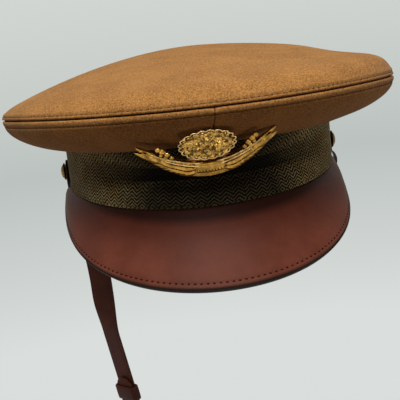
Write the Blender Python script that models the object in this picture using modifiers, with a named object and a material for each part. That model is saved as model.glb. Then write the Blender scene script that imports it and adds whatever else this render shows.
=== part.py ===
"""Peaked service cap, built as an assembly of its real pieces.

Frame: metres, +Z up, -Y to the front, +X to the wearer's left. The origin is the centre of the
head opening in the plane of the band's bottom edge. The angle t runs round the cap: 0 at the
front, +90 degrees at +X, 180 degrees at the back.
"""
import math

import bmesh
import bpy
from mathutils import Vector

MM = 0.001
DEG = math.pi / 180

# ---- driving dimensions ------------------------------------------------------------------
BAND_HALF_LENGTH = 107.0 * MM      # outside of the braid, front to centre
BAND_HALF_WIDTH = 87.5 * MM        # outside of the braid, side to centre
BAND_EGG = 0.04                    # how much narrower the front half is than the back half
BAND_BOTTOM = 0.9 * MM
BAND_TOP = 36.5 * MM
DENT_DEPTH = 6.0 * MM              # the crease across the front of the band
DENT_HEIGHT = 20.0 * MM
DENT_SPREAD = 8.5 * MM
FRONT_LEAN = 2.2 * MM              # the band's top leans out under the raised front

BRAID_THICK = 1.3 * MM
FRAME_INSET = 2.2 * MM
FRAME_THICK = 1.0 * MM
FRAME_TOP = 37.8 * MM
SWEAT_INSET = 5.2 * MM
SWEAT_THICK = 1.0 * MM
SWEAT_TOP = 34.0 * MM
SWEAT_BOTTOM = -0.2 * MM

RIM_HALF_WIDTH = 125.5 * MM        # crown seam, plan oval
RIM_HALF_LENGTH = 143.3 * MM
RIM_CENTRE_X = 2.6 * MM
RIM_CENTRE_Y = 3.15 * MM
RIM_SIDE_HEIGHT = 46.9 * MM        # seam height at the sides
RIM_FRONT_RISE = 18.1 * MM         # how much the front is raised
RIM_FRONT_ROUND = 6.92 * MM
RIM_BACK_LIFT = 13.2 * MM
DOME_RISE = 33.2 * MM              # apex above the side seam
DOME_BASE = 47.0 * MM
APEX_SHIFT = (0.0, 20.0 * MM)
PILLOW_POWER = 40
CLOTH_THICK = 1.3 * MM
PANEL_THICK = 1.2 * MM
SEAM_GAP = 0.4 * MM
WELT_RADIUS = 0.9 * MM
TOP_EDGE_LIFT = 2.4 * MM           # crown top's edge above the welt's centre
PANEL_EDGE_DROP = 2.3 * MM         # side panels' edge below the welt's centre
DROOP_SIDE = 29.5 * MM             # lowest fold of the side panels
DROOP_FRONT_RISE = 5.0 * MM
PANEL_FOLD_OUT = 3.5 * MM

HOOP_RADIUS = 1.5 * MM
HOOP_SCALE = 0.962
FERRULE_LENGTH = 14.0 * MM
LINING_SCALE = 0.93
LINING_DROP = 7.0 * MM
LINING_THICK = 0.8 * MM
LINING_FOOT = 40.0 * MM

VISOR_HALF_WIDTH = 90.3 * MM
VISOR_SWELL = 1.2 * MM               # fuller than a plain oval at its corners
VISOR_SHIFT = -2.2 * MM              # sewn on a little off centre
VISOR_SKEW = 0.0175                  # and swings to the +X side by this share of its reach
VISOR_REACH = 167.0 * MM
VISOR_POWER = 0.62
VISOR_BACK_Y = 22.8 * MM
VISOR_PITCH = 11.9 * DEG
VISOR_END = 86.0 * DEG
VISOR_TOP_THICK = 1.2 * MM
VISOR_CORE_THICK = 0.9 * MM
VISOR_LINING_THICK = 0.8 * MM
VISOR_PLY_GAP = 0.3 * MM
VISOR_BULGE = 1.2 * MM

BUTTON_Y = 2.0 * MM
BUTTON_Z = 8.5 * MM
BUTTON_RADIUS = 5.7 * MM
SHANK_RADIUS = 1.8 * MM
SHANK_HOLE = 2.4 * MM
DOME_FACE = 90.5 * MM              # underside of a button's dome, from the centre plane

STRAP_WIDTH = 16.0 * MM
STRAP_THICK = 1.6 * MM
STRAP_LEAN = 8.1 * DEG             # how far the hanging strap leans inwards
STRAP_TWIST_MID = 68 * DEG
STRAP_TWIST_LOW = 44 * DEG
STRAP_KNEE = (-76.6 * MM, -113.0 * MM)   # where the strap runs straight from, (x, z)
STRAP_UPPER_END = 93.0 * MM        # lengths below are measured along the strap from the knee
STRAP_LOWER_START = 34.0 * MM
STRAP_LOWER_END = 168.0 * MM
KEEPER_LENGTH = 11.0 * MM
KEEPER_THICK = 1.3 * MM
KEEPER_UPPER_AT = 46.0 * MM
KEEPER_LOWER_AT = 83.0 * MM
PLY_GAP = 0.35 * MM

BADGE_TILT = 28 * DEG              # badge plane leans forward of upright
BADGE_ROLL = 2.75 * DEG               # it was pinned on a little crooked
BADGE_TOP = (-1.3 * MM, -126.7 * MM, 39.6 * MM)
BADGE_HEIGHT = 31.0 * MM
BADGE_HALF_WIDTH = 36.2 * MM
BADGE_BEND = 104.0 * MM
WREATH_FOOT = -7.0 * MM               # y of the wreath's lowest point on the badge
WREATH_RISE = 19.9 * MM
ROSETTE_AT = 15.6 * MM
POST_RADIUS = 1.5 * MM
POST_HOLE = 2.1 * MM

# ---- the scene ----------------------------------------------------------------------------
for old in list(bpy.data.objects):
    bpy.data.objects.remove(old)
PARTS = bpy.data.collections.new("peaked_cap")
CUTTERS = bpy.data.collections.new("cutters")
bpy.context.scene.collection.children.link(PARTS)
bpy.context.scene.collection.children.link(CUTTERS)

# colour, roughness, metallic
FINISHES = {
    "crown_cloth": ((0.42, 0.21, 0.075), 0.95, 0.0),
    "braid": ((0.15, 0.10, 0.045), 0.8, 0.0),
    "visor_leather": ((0.16, 0.055, 0.038), 0.42, 0.0),
    "visor_under": ((0.10, 0.07, 0.04), 0.7, 0.0),
    "board": ((0.30, 0.24, 0.16), 0.9, 0.0),
    "strap_leather": ((0.09, 0.028, 0.020), 0.45, 0.0),
    "sweat_leather": ((0.30, 0.15, 0.07), 0.55, 0.0),
    "lining_cloth": ((0.40, 0.31, 0.18), 0.6, 0.0),
    "gilt": ((0.80, 0.56, 0.20), 0.28, 1.0),
    "steel": ((0.45, 0.44, 0.42), 0.4, 1.0),
    "celluloid": ((0.85, 0.80, 0.62), 0.15, 0.0),
}


def material(slot):
    """One Principled material per finish."""
    found = bpy.data.materials.get(slot)
    if found:
        return found
    colour, rough, metal = FINISHES[slot]
    made = bpy.data.materials.new(slot)
    made.use_nodes = True
    shader = made.node_tree.nodes["Principled BSDF"]
    shader.inputs["Base Color"].default_value = (*colour, 1)
    shader.inputs["Roughness"].default_value = rough
    shader.inputs["Metallic"].default_value = metal
    return made


# ---- making meshes ------------------------------------------------------------------------
def add_object(name, data, slot):
    obj = bpy.data.objects.new(name, data)
    PARTS.objects.link(obj)
    data.materials.append(material(slot))
    return obj


def sheet_mesh(name, rows, ring=False, pole=None, outward=None):
    """An open surface through rows of points; ring closes each row, pole closes the last one.

    outward is a point that the surface's normals face away from.
    """
    bm = bmesh.new()
    grid = [[bm.verts.new(p) for p in row] for row in rows]
    count = len(grid[0])
    for low, high in zip(grid, grid[1:]):
        for i in range(count if ring else count - 1):
            j = (i + 1) % count
            bm.faces.new((low[i], low[j], high[j], high[i]))
    if pole is not None:
        tip = bm.verts.new(pole)
        for i in range(count):
            bm.faces.new((grid[-1][i], grid[-1][(i + 1) % count], tip))
    bm.normal_update()
    if outward is not None:
        away = sum((f.calc_center_median() - Vector(outward)).dot(f.normal) * f.calc_area()
                   for f in bm.faces)
        if away < 0:
            bmesh.ops.reverse_faces(bm, faces=bm.faces[:])
    mesh = bpy.data.meshes.new(name)
    bm.to_mesh(mesh)
    bm.free()
    mesh.shade_smooth()
    return mesh


def shell(name, slot, rows, thickness, offset=-1.0, **shape):
    """A sheet with Solidify; offset -1 thickens it inwards, 0 both ways."""
    obj = add_object(name, sheet_mesh(name, rows, **shape), slot)
    solid = obj.modifiers.new("thickness", "SOLIDIFY")
    solid.thickness = thickness
    solid.offset = offset
    solid.use_even_offset = True
    solid.use_quality_normals = True
    return obj


def turned(name, slot, profile, origin, direction, steps=20, hollow=False):
    """A profile of (radius, height) turned round an axis; it runs down its outer side."""
    mesh = bpy.data.meshes.new(name)
    count = len(profile)
    edges = [(i, i + 1) for i in range(count - 1)]
    if hollow:
        edges.append((count - 1, 0))
    mesh.from_pydata([(r, 0, h) for r, h in profile], edges, [])
    obj = add_object(name, mesh, slot)
    screw = obj.modifiers.new("turn", "SCREW")
    screw.steps = steps
    screw.render_steps = steps
    screw.use_merge_vertices = True
    screw.merge_threshold = 0.00001
    screw.use_smooth_shade = True
    obj.location = origin
    obj.rotation_euler = Vector(direction).to_track_quat("Z", "Y").to_euler()
    return obj


def tube(name, slot, points, radius, cyclic=False):
    """A round wire through points."""
    curve = bpy.data.curves.new(name, "CURVE")
    curve.dimensions = "3D"
    curve.bevel_depth = radius
    curve.bevel_resolution = 2
    curve.use_fill_caps = not cyclic
    spline = curve.splines.new("POLY")
    spline.points.add(len(points) - 1)
    for knot, place in zip(spline.points, points):
        knot.co = (*place, 1)
    spline.use_cyclic_u = cyclic
    return add_object(name, curve, slot)


def cutter_rod(name, radius, length, centre, direction, sides=20):
    """A cylinder that cuts holes; it isn't part of the cap."""
    bm = bmesh.new()
    bmesh.ops.create_cone(bm, cap_ends=True, segments=sides, radius1=radius, radius2=radius,
                          depth=length)
    mesh = bpy.data.meshes.new(name)
    bm.to_mesh(mesh)
    bm.free()
    obj = bpy.data.objects.new(name, mesh)
    CUTTERS.objects.link(obj)
    obj.location = centre
    obj.rotation_euler = Vector(direction).to_track_quat("Z", "Y").to_euler()
    obj.hide_render = True
    obj.display_type = "WIRE"
    return obj


def cut(obj, cutter):
    hole = obj.modifiers.new("hole", "BOOLEAN")
    hole.operation = "DIFFERENCE"
    hole.solver = "EXACT"
    hole.object = cutter


# ---- the cap's surfaces --------------------------------------------------------------------
def smooth(x):
    x = min(1.0, max(0.0, x))
    return x * x * (3 - 2 * x)


def ring_angles(count):
    return [2 * math.pi * i / count for i in range(count)]


def band_oval(t):
    x = BAND_HALF_WIDTH * math.sin(t) * (1 - BAND_EGG * math.cos(t))
    return Vector((x, -BAND_HALF_LENGTH * math.cos(t)))


def band_normal(t):
    step = 0.001
    along = (band_oval(t + step) - band_oval(t - step)).normalized()
    return Vector((along.y, -along.x))


def dent(t, z):
    """The front crease: in at half height, and leaning out again above it."""
    frontness = smooth((math.cos(t) - 0.45) / 0.35)
    crease = -DENT_DEPTH * math.exp(-((z - DENT_HEIGHT) / DENT_SPREAD) ** 2)
    lean = FRONT_LEAN * max(0.0, (z - 24 * MM) / (14 * MM))
    return frontness * (crease + lean)


def band_point(t, z, outset=0.0):
    p = band_oval(t) + band_normal(t) * (outset + dent(t, z))
    return Vector((p.x, p.y, z))


def rim_oval(t, scale=1.0):
    return Vector((RIM_CENTRE_X + RIM_HALF_WIDTH * math.sin(t) * scale,
                   RIM_CENTRE_Y - RIM_HALF_LENGTH * math.cos(t) * scale))


def rim_height(t):
    c = math.cos(t)
    bend = -RIM_FRONT_ROUND if c > 0 else RIM_BACK_LIFT
    return RIM_SIDE_HEIGHT + RIM_FRONT_RISE * c + bend * c * c


def droop_height(t):
    return DROOP_SIDE + DROOP_FRONT_RISE * math.cos(t) ** 2


def flare_straightness(t):
    """0 is a round quarter-ellipse flare, 1 a straight slope; the raised front is straighter."""
    c = math.cos(t)
    return 0.15 + 0.6 * max(0.0, c) ** 2 + 0.15 * max(0.0, -c)


def flare(t, u, inner, rim, low, high):
    """A point of the side flare; u runs from the band, 0, to the rim, 1."""
    angle = u * math.pi / 2
    f = math.sin(angle)
    w = flare_straightness(t)
    p = inner * (1 - f) + rim * f
    z = low + (high - low) * ((1 - w) * (1 - math.cos(angle)) + w * f)
    return Vector((p.x, p.y, z))


def panel_point(t, u):
    fold = band_oval(t) + band_normal(t) * PANEL_FOLD_OUT
    return flare(t, u, fold, rim_oval(t), droop_height(t), rim_height(t) - PANEL_EDGE_DROP)


def panel_section(t):
    """Side panel from its sewn edge on top of the band, over the droop, and out to the rim."""
    low = droop_height(t)
    tuck = ((-0.8 * MM, 37.2 * MM), (0.5 * MM, 37.2 * MM), (1.1 * MM, 36.3 * MM),
            (1.2 * MM, (36.3 * MM + low) / 2), (1.8 * MM, low + 0.9 * MM))
    lean = dent(t, BAND_TOP)
    section = []
    for outset, z in tuck:
        p = band_oval(t) + band_normal(t) * (outset + lean)
        section.append(Vector((p.x, p.y, z)))
    flares = [panel_point(t, u) for u in (0.12, 0.28, 0.46, 0.64, 0.82, 1.0)]
    return section + flares


def pillow_height(t):
    """How much the crown top stands up at its edge; more on the +X side."""
    s = math.sin(t)
    return 9.6 * MM + (1.5 * MM if s > 0 else -4.8 * MM) * s * s


def top_point(t, r, drop=0.0, scale=1.0):
    """Crown top at r of the way from the apex to the rim."""
    pillow = pillow_height(t)
    lift = TOP_EDGE_LIFT
    z = rim_height(t) * r * r + DOME_BASE * (1 - r * r)
    z += lift + (pillow - lift) * (1 - r ** PILLOW_POWER) + (DOME_RISE - pillow) * (1 - r * r)
    side = max(0.0, math.sin(t))
    z -= 1.9 * MM * side * side * math.exp(-((r - 0.75) / 0.13) ** 2)
    p = rim_oval(t, r * scale) + Vector(APEX_SHIFT) * (1 - r * r)
    return Vector((p.x, p.y, z - drop))


# ---- crown ---------------------------------------------------------------------------------
RING = 40


def build_crown():
    angles = ring_angles(RING)
    radii = (1.0, 0.98, 0.95, 0.9, 0.82, 0.7, 0.54, 0.36, 0.18)
    rows = [[top_point(t, r) for t in angles] for r in radii]
    shell("crown_top", "crown_cloth", rows, CLOTH_THICK, ring=True, pole=top_point(0, 0),
          outward=(0, 0, 0))
    quarters = (("side_panel_front_left", 0), ("side_panel_rear_left", 90),
                ("side_panel_rear_right", 180), ("side_panel_front_right", 270))
    for name, start in quarters:
        margin = SEAM_GAP / 2 / BAND_HALF_WIDTH
        t0 = start * DEG + margin
        t1 = (start + 90) * DEG - margin
        columns = RING // 4
        spread = [t0 + (t1 - t0) * i / columns for i in range(columns + 1)]
        sections = [panel_section(t) for t in spread]
        rows = [list(row) for row in zip(*sections)]
        middle = rim_oval((start + 45) * DEG, 0.5)
        shell(name, "crown_cloth", rows, PANEL_THICK, outward=(middle.x, middle.y, 60 * MM))
    welt = [Vector((*rim_oval(t, 0.992), rim_height(t))) for t in ring_angles(52)]
    tube("crown_seam_welt", "crown_cloth", welt, WELT_RADIUS, cyclic=True)


def hoop_point(t):
    p = rim_oval(t, HOOP_SCALE)
    return Vector((p.x, p.y, rim_height(t) + 1 * MM))


def build_hoop():
    """The springy grommet that stretches the crown, its ends meeting in a ferrule at the back."""
    gap = 0.5 * DEG
    count = 44
    span = 2 * math.pi - 2 * gap
    points = [hoop_point(math.pi + gap + span * i / count) for i in range(count + 1)]
    tube("grommet_hoop", "steel", points, HOOP_RADIUS)
    inner = HOOP_RADIUS + 0.55 * MM
    outer = inner + 0.5 * MM
    half = FERRULE_LENGTH / 2
    profile = [(outer, half), (outer, -half), (inner, -half), (inner, half)]
    back = hoop_point(math.pi)
    turned("grommet_ferrule", "gilt", profile, back + Vector((0, -0.1 * MM, 0)), (1, 0, 0),
           steps=16, hollow=True)


def lining_foot(t):
    return band_oval(t) + band_normal(t) * (dent(t, BAND_TOP) - 3.6 * MM)


def lining_wall(t, u):
    """The loose lining rises from the band first, and only then spreads out to the rim."""
    angle = u * math.pi / 2
    p = lining_foot(t).lerp(rim_oval(t, LINING_SCALE), 1 - math.cos(angle))
    z = LINING_FOOT + (rim_height(t) - 1 * MM - LINING_FOOT) * math.sin(angle)
    return Vector((p.x, p.y, z))


def build_lining():
    angles = ring_angles(32)
    rows = [[lining_wall(t, u) for t in angles] for u in (0.0, 0.3, 0.58, 0.8)]
    rows.append([top_point(t, 0.95, LINING_DROP, LINING_SCALE) for t in angles])
    shell("crown_lining_side", "lining_cloth", rows, LINING_THICK, ring=True,
          outward=(0, 0, 50 * MM))
    rows = [[top_point(t, r, LINING_DROP, LINING_SCALE) for t in angles]
            for r in (0.915, 0.85, 0.74, 0.6, 0.42, 0.22)]
    shell("crown_lining_tip", "lining_cloth", rows, LINING_THICK, ring=True,
          pole=top_point(0, 0, LINING_DROP), outward=(0, 0, 0))
    under = LINING_DROP + 1.5 * MM
    shield = [[top_point(t, r, under, LINING_SCALE) for t in ring_angles(32)]
              for r in (0.38, 0.22, 0.11)]
    shell("sweat_shield", "celluloid", shield, 0.5 * MM, ring=True,
          pole=top_point(0, 0, under), outward=(0, 0, 0))


def panel_depth_point(u, depth):
    """A point behind the front panels' outer face, on the centre plane."""
    p = panel_point(0, u)
    along = (panel_point(0, u + 0.01) - panel_point(0, u - 0.01)).normalized()
    inwards = Vector((0, -along.z, along.y))
    if inwards.y < 0:
        inwards = -inwards
    return p + inwards * depth


def build_front_stay():
    """The flat spring that holds the front of the crown up."""
    depth = PANEL_THICK + 0.6 * MM
    half_width = 6 * MM
    rows = []
    for i in range(7):
        p = panel_depth_point(0.14 + 0.6 * i / 6, depth)
        rows.append([p + Vector((side * half_width, 0, 0)) for side in (-1, 0, 1)])
    return shell("front_stay", "steel", rows, 0.5 * MM, outward=(0, 0, 50 * MM))


# ---- band ----------------------------------------------------------------------------------
def band_rows(low, high, outset, count):
    return [[band_point(t, low + (high - low) * i / count, outset) for t in ring_angles(RING)]
            for i in range(count + 1)]


def build_band():
    axis_inside = (0, 0, 20 * MM)
    rod = cutter_rod("button_hole_cutter", SHANK_HOLE, 220 * MM, (0, BUTTON_Y, BUTTON_Z),
                     (1, 0, 0))
    braid = shell("braid_band", "braid", band_rows(BAND_BOTTOM, BAND_TOP, 0, 8), BRAID_THICK,
                  ring=True, outward=axis_inside)
    cut(braid, rod)
    frame = shell("band_frame", "board", band_rows(BAND_BOTTOM, FRAME_TOP, -FRAME_INSET, 7),
                  FRAME_THICK, ring=True, outward=axis_inside)
    cut(frame, rod)
    shell("sweatband", "sweat_leather", band_rows(SWEAT_BOTTOM, SWEAT_TOP, -SWEAT_INSET, 7),
          SWEAT_THICK, ring=True, outward=axis_inside)


# ---- visor ---------------------------------------------------------------------------------
def visor_edge(u):
    reach = VISOR_REACH * math.cos(u) ** VISOR_POWER
    ahead = reach * math.cos(VISOR_PITCH)
    wide = VISOR_HALF_WIDTH * math.sin(u) + VISOR_SWELL * math.sin(2 * u)
    return Vector((VISOR_SHIFT + VISOR_SKEW * ahead + wide, VISOR_BACK_Y - ahead,
                   -reach * math.sin(VISOR_PITCH)))


def visor_root(u):
    p = band_oval(u) + band_normal(u) * 0.6 * MM
    return Vector((p.x, p.y, 0.4 * MM))


def visor_point(u, v):
    """v runs from the band, 0, to the outer edge, 1."""
    p = visor_root(u).lerp(visor_edge(u), v)
    out = band_normal(u)
    up = Vector((out.x, out.y, 1)).normalized()
    return p + up * VISOR_BULGE * math.sin(math.pi * v)


def visor_normal(u, v):
    step = 0.01
    across = visor_point(u + step, v) - visor_point(u - step, v)
    outwards = visor_point(u, v + step) - visor_point(u, v - step)
    n = across.cross(outwards).normalized()
    return n if n.z + n.dot(Vector((*band_normal(u), 0))) > 0 else -n


def build_visor():
    plies = (("visor_top_leather", "visor_leather", VISOR_TOP_THICK),
             ("visor_core_board", "board", VISOR_CORE_THICK),
             ("visor_lining", "visor_under", VISOR_LINING_THICK))
    columns = 26
    depth = 0.0
    for name, slot, thick in plies:
        rows = []
        for v in (0.0, 0.25, 0.5, 0.75, 1.0):
            row = []
            for i in range(columns + 1):
                u = VISOR_END * (2 * i / columns - 1)
                row.append(visor_point(u, v) - visor_normal(u, v) * depth)
            rows.append(row)
        shell(name, slot, rows, thick, outward=(0, -20 * MM, -80 * MM))
        depth += thick + VISOR_PLY_GAP


# ---- side buttons --------------------------------------------------------------------------
def build_buttons():
    """Domed buttons whose grooved shanks turn in the band and are held by clips inside it."""
    band_side = BAND_HALF_WIDTH
    groove_out = band_side - FRAME_INSET - FRAME_THICK - 0.15 * MM
    groove_in = groove_out - 1.35 * MM
    shank_end = groove_in - 0.4 * MM
    face = DOME_FACE
    profile = [(0, face + 3.1 * MM), (1.9 * MM, face + 2.95 * MM), (3.6 * MM, face + 2.4 * MM),
               (4.9 * MM, face + 1.5 * MM), (BUTTON_RADIUS, face + 0.8 * MM),
               (BUTTON_RADIUS, face + 0.2 * MM), (5.2 * MM, face), (SHANK_RADIUS, face),
               (SHANK_RADIUS, groove_out), (1.1 * MM, groove_out), (1.1 * MM, groove_in),
               (1.7 * MM, groove_in), (1.7 * MM, shank_end), (0, shank_end)]
    clip_top = groove_out - 0.25 * MM
    clip_low = groove_in + 0.2 * MM
    clip = [(4.2 * MM, clip_top), (4.2 * MM, clip_low), (1.4 * MM, clip_low),
            (1.4 * MM, clip_top)]
    for side, direction in (("left", (1, 0, 0)), ("right", (-1, 0, 0))):
        place = (0, BUTTON_Y, BUTTON_Z)
        turned(side + "_button", "gilt", profile, place, direction)
        turned(side + "_button_clip", "steel", clip, place, direction, hollow=True)


# ---- chin strap ----------------------------------------------------------------------------
STRAP_DOWN = Vector((math.sin(STRAP_LEAN), 0, -math.cos(STRAP_LEAN)))


def strap_side(twist):
    """Unit vector that a strap's face looks along: outwards at 0, forwards at 90 degrees."""
    face = Vector((-math.cos(twist), -math.sin(twist), 0))
    return (face - STRAP_DOWN * face.dot(STRAP_DOWN)).normalized()


def strap_top_route():
    """Centre line from the button down to the knee, as (x, z), and its twist."""
    knee_x, knee_z = STRAP_KNEE
    through = ((-88.85 * MM, BUTTON_Z + 16 * MM), (-88.85 * MM, BUTTON_Z + 7.5 * MM),
               (-88.85 * MM, -4 * MM), (-85.0 * MM, -26 * MM), (-80.2 * MM, -48 * MM),
               (-78.6 * MM, -68 * MM), (-78.3 * MM, -91 * MM), (knee_x, knee_z),
               (knee_x + 30 * MM * STRAP_DOWN.x, knee_z + 30 * MM * STRAP_DOWN.z))
    steps = 5
    route = []
    for k in range(1, len(through) - 2):
        a, b, c, d = (Vector(p) for p in through[k - 1:k + 3])
        for i in range(steps):
            s = i / steps
            p = 0.5 * ((2 * b) + (c - a) * s + (2 * a - 5 * b + 4 * c - d) * s * s
                       + (3 * b - a - 3 * c + d) * s ** 3)
            route.append((p.x, p.y))
    route.append(STRAP_KNEE)
    return route


def strap_twist(z):
    if z > -82 * MM:
        return STRAP_TWIST_MID * smooth((-2 * MM - z) / (54 * MM))
    return STRAP_TWIST_MID + (STRAP_TWIST_LOW - STRAP_TWIST_MID) * smooth(
        (-82 * MM - z) / (30 * MM))


def strap_row(centre, along, twist, half_width):
    face = Vector((-math.cos(twist), -math.sin(twist), 0))
    face = (face - along * face.dot(along)).normalized()
    across = along.cross(face)
    return [centre + across * half_width * k for k in (-1, 0, 1)]


def knee_point(length):
    return Vector((STRAP_KNEE[0], BUTTON_Y, STRAP_KNEE[1])) + STRAP_DOWN * length


def end_width(distance):
    """Half width near a round end, at a distance from its tip."""
    radius = STRAP_WIDTH / 2
    if distance >= radius:
        return radius
    return math.sqrt(max(0.06 * radius ** 2, radius ** 2 - (radius - distance) ** 2))


def build_strap():
    rod = cutter_rod("strap_hole_cutter", 2.3 * MM, 30 * MM,
                     (-DOME_FACE, BUTTON_Y, BUTTON_Z), (1, 0, 0))
    route = [Vector((x, BUTTON_Y, z)) for x, z in strap_top_route()]
    tip_z = route[0].z
    rows = []
    extra = [Vector((route[0].x, BUTTON_Y, tip_z - k * MM)) for k in (0, 1.2, 3.5)]
    points = extra + [p for p in route[1:] if p.z < tip_z - 4 * MM]
    for i, p in enumerate(points):
        before = points[max(0, i - 1)]
        after = points[min(len(points) - 1, i + 1)]
        along = (after - before).normalized()
        rows.append(strap_row(p, along, strap_twist(p.z), end_width(tip_z - p.z)))
    for length in (15, 45, 75, STRAP_UPPER_END / MM - 7, STRAP_UPPER_END / MM - 2.5,
                   STRAP_UPPER_END / MM):
        left = STRAP_UPPER_END - length * MM
        rows.append(strap_row(knee_point(length * MM), STRAP_DOWN, STRAP_TWIST_LOW,
                              end_width(left)))
    upper = shell("strap_upper", "strap_leather", rows, STRAP_THICK, offset=0.0)
    cut(upper, rod)

    face = strap_side(STRAP_TWIST_LOW)
    lift = face * (STRAP_THICK + PLY_GAP)
    rows = []
    start = STRAP_LOWER_START
    end = STRAP_LOWER_END
    for length in (start, start + 2.5 * MM, start + 7 * MM, 60 * MM, 110 * MM, end - 7 * MM,
                   end - 2.5 * MM, end):
        near = min(length - start, end - length)
        rows.append(strap_row(knee_point(length) + lift, STRAP_DOWN, STRAP_TWIST_LOW,
                              end_width(near)))
    lower = shell("strap_lower", "strap_leather", rows, STRAP_THICK, offset=0.0)
    eye = knee_point(end - 9 * MM) + lift
    cut(lower, cutter_rod("strap_eye_cutter", 2.3 * MM, 10 * MM, eye, face))

    for name, at in (("strap_keeper_upper", KEEPER_UPPER_AT),
                     ("strap_keeper_lower", KEEPER_LOWER_AT)):
        centre = knee_point(at) + lift / 2
        across = STRAP_DOWN.cross(face)
        half_wide = STRAP_WIDTH / 2 + 0.5 * MM
        half_deep = STRAP_THICK + PLY_GAP / 2 + 0.4 * MM
        corner = 1.0 * MM
        outline = []
        for quarter, (sx, sy) in enumerate(((1, 1), (-1, 1), (-1, -1), (1, -1))):
            for k in range(4):
                a = (quarter * 90 + 30 * k) * DEG
                outline.append((sx * (half_wide - corner) + corner * math.cos(a),
                                sy * (half_deep - corner) + corner * math.sin(a)))
        rows = [[centre + STRAP_DOWN * end * KEEPER_LENGTH / 2 + across * x + face * y
                 for x, y in outline] for end in (-1, 1)]
        shell(name, "strap_leather", rows, KEEPER_THICK, offset=1.0, ring=True,
              outward=centre)


def build_left_tab():
    """A short leather loop that hangs from the +X button for the strap's free end."""
    through = ((88.45, 14.0), (88.45, 10.5), (88.45, 5.0), (88.45, 0.0), (88.4, -4.0),
               (88.5, -7.5), (89.5, -10.4), (91.4, -10.6), (92.7, -8.0), (92.9, -4.0),
               (91.6, -0.6), (90.0, 1.4), (89.85, 5.5), (89.85, 10.5), (89.85, 14.0))
    widths = (2.2, 4.1) + (4.4,) * 11 + (4.1, 2.2)
    rows = [[Vector((x * MM, BUTTON_Y + side * half * MM, z * MM)) for side in (-1, 0, 1)]
            for (x, z), half in zip(through, widths)]
    tab = shell("left_strap_tab", "strap_leather", rows, 0.9 * MM, offset=0.0)
    cut(tab, cutter_rod("tab_hole_cutter", 2.3 * MM, 14 * MM, (89.2 * MM, BUTTON_Y, BUTTON_Z),
                        (1, 0, 0)))


# ---- badge ---------------------------------------------------------------------------------
BADGE_DOWN = Vector((0, math.sin(BADGE_TILT), -math.cos(BADGE_TILT)))
BADGE_FACE = Vector((0, -math.cos(BADGE_TILT), -math.sin(BADGE_TILT)))
BADGE_CENTRE = Vector(BADGE_TOP) + BADGE_DOWN * BADGE_HEIGHT / 2


def badge_point(x, y, out):
    """Badge coordinates: x across, y up the badge, out from its face; the badge is bent."""
    back = x * x / (2 * BADGE_BEND)
    level = x * math.cos(BADGE_ROLL) - y * math.sin(BADGE_ROLL)
    rise = x * math.sin(BADGE_ROLL) + y * math.cos(BADGE_ROLL)
    return BADGE_CENTRE + Vector((level, 0, 0)) - BADGE_DOWN * rise + BADGE_FACE * (out - back)


def build_badge():
    rows = [[], [], []]
    count = 24
    for i in range(count + 1):
        s = 2 * i / count - 1
        spread = abs(s)
        x = BADGE_HALF_WIDTH * s
        low = WREATH_FOOT + WREATH_RISE * spread ** 2.1
        lug = 5.5 * MM * math.exp(-(spread / 0.22) ** 2)
        high = low + 9.5 * MM * (1 - spread ** 2.6) + 0.7 * MM + lug
        for row, share in zip(rows, (0, 0.5, 1)):
            row.append(badge_point(x, low + (high - low) * share, 0))
    shell("badge_wreath", "gilt", rows, 1.3 * MM, outward=(0, 0, 30 * MM))

    wide = 14.2 * MM
    tall = 8.8 * MM
    lobes = 12
    angles = ring_angles(lobes * 4)
    rows = []
    for share, rise in ((1.0, 2.4), (0.8, 3.1), (0.45, 3.8)):
        rows.append([])
        for a in angles:
            lobe = 1 - 0.08 * (1 - abs(math.cos(a * lobes / 2))) * share
            rows[-1].append(badge_point(wide * share * lobe * math.cos(a),
                                        ROSETTE_AT + tall * share * lobe * math.sin(a), rise * MM))
    shell("badge_rosette", "gilt", rows, 1.2 * MM, ring=True,
          pole=badge_point(0, ROSETTE_AT, 4.1 * MM), outward=(0, 0, 30 * MM))

    rows = [[badge_point(x * MM, y * MM, 2.1 * MM) for x in (-7.5, -2.5, 2.5, 7.5)]
            for y in (-3.0, 0.1, 3.2)]
    bar = shell("badge_bar", "gilt", rows, 1.7 * MM, outward=(0, 0, 30 * MM))
    edge = bar.modifiers.new("edge", "BEVEL")
    edge.width = 0.5 * MM
    edge.segments = 2


def panel_depth_along(point, direction):
    """Distance along direction from a badge point to the front panels' outer face."""
    best = None
    for i in range(200):
        u = 0.1 + 0.8 * i / 199
        offset = panel_point(0, u) - point
        offset.x = 0
        along = offset.dot(direction)
        miss = (offset - direction * along).length
        if best is None or miss < best[0]:
            best = (miss, along)
    return best[1]


def build_badge_fixings(panels, stay):
    """Screw post through the front panels and the stay, with its washer and thumb nut."""
    inwards = -BADGE_FACE
    foot = badge_point(0, ROSETTE_AT, 2.6 * MM)
    depth = panel_depth_along(foot, inwards)
    length = depth + PANEL_THICK + 9.4 * MM
    post = [(0, 0), (POST_RADIUS, 0), (POST_RADIUS, -length), (0, -length)]
    turned("badge_post", "gilt", post, foot, BADGE_FACE, steps=14)
    hole = cutter_rod("post_hole_cutter", POST_HOLE, 40 * MM, foot + inwards * depth,
                      BADGE_FACE)
    for obj in panels + [stay]:
        cut(obj, hole)
    washer_at = depth + PANEL_THICK + 4.4 * MM
    washer = [(3.7 * MM, -washer_at), (3.7 * MM, -washer_at - 0.8 * MM),
              (POST_RADIUS + 0.35 * MM, -washer_at - 0.8 * MM),
              (POST_RADIUS + 0.35 * MM, -washer_at)]
    turned("badge_washer", "steel", washer, foot, BADGE_FACE, steps=18, hollow=True)
    nut_at = washer_at + 1.15 * MM
    bore = POST_RADIUS + 0.3 * MM
    nut = [(3.2 * MM, -nut_at), (3.2 * MM, -nut_at - 2.4 * MM), (bore, -nut_at - 2.4 * MM),
           (bore, -nut_at)]
    turned("badge_thumb_nut", "gilt", nut, foot, BADGE_FACE, steps=18, hollow=True)


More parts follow.
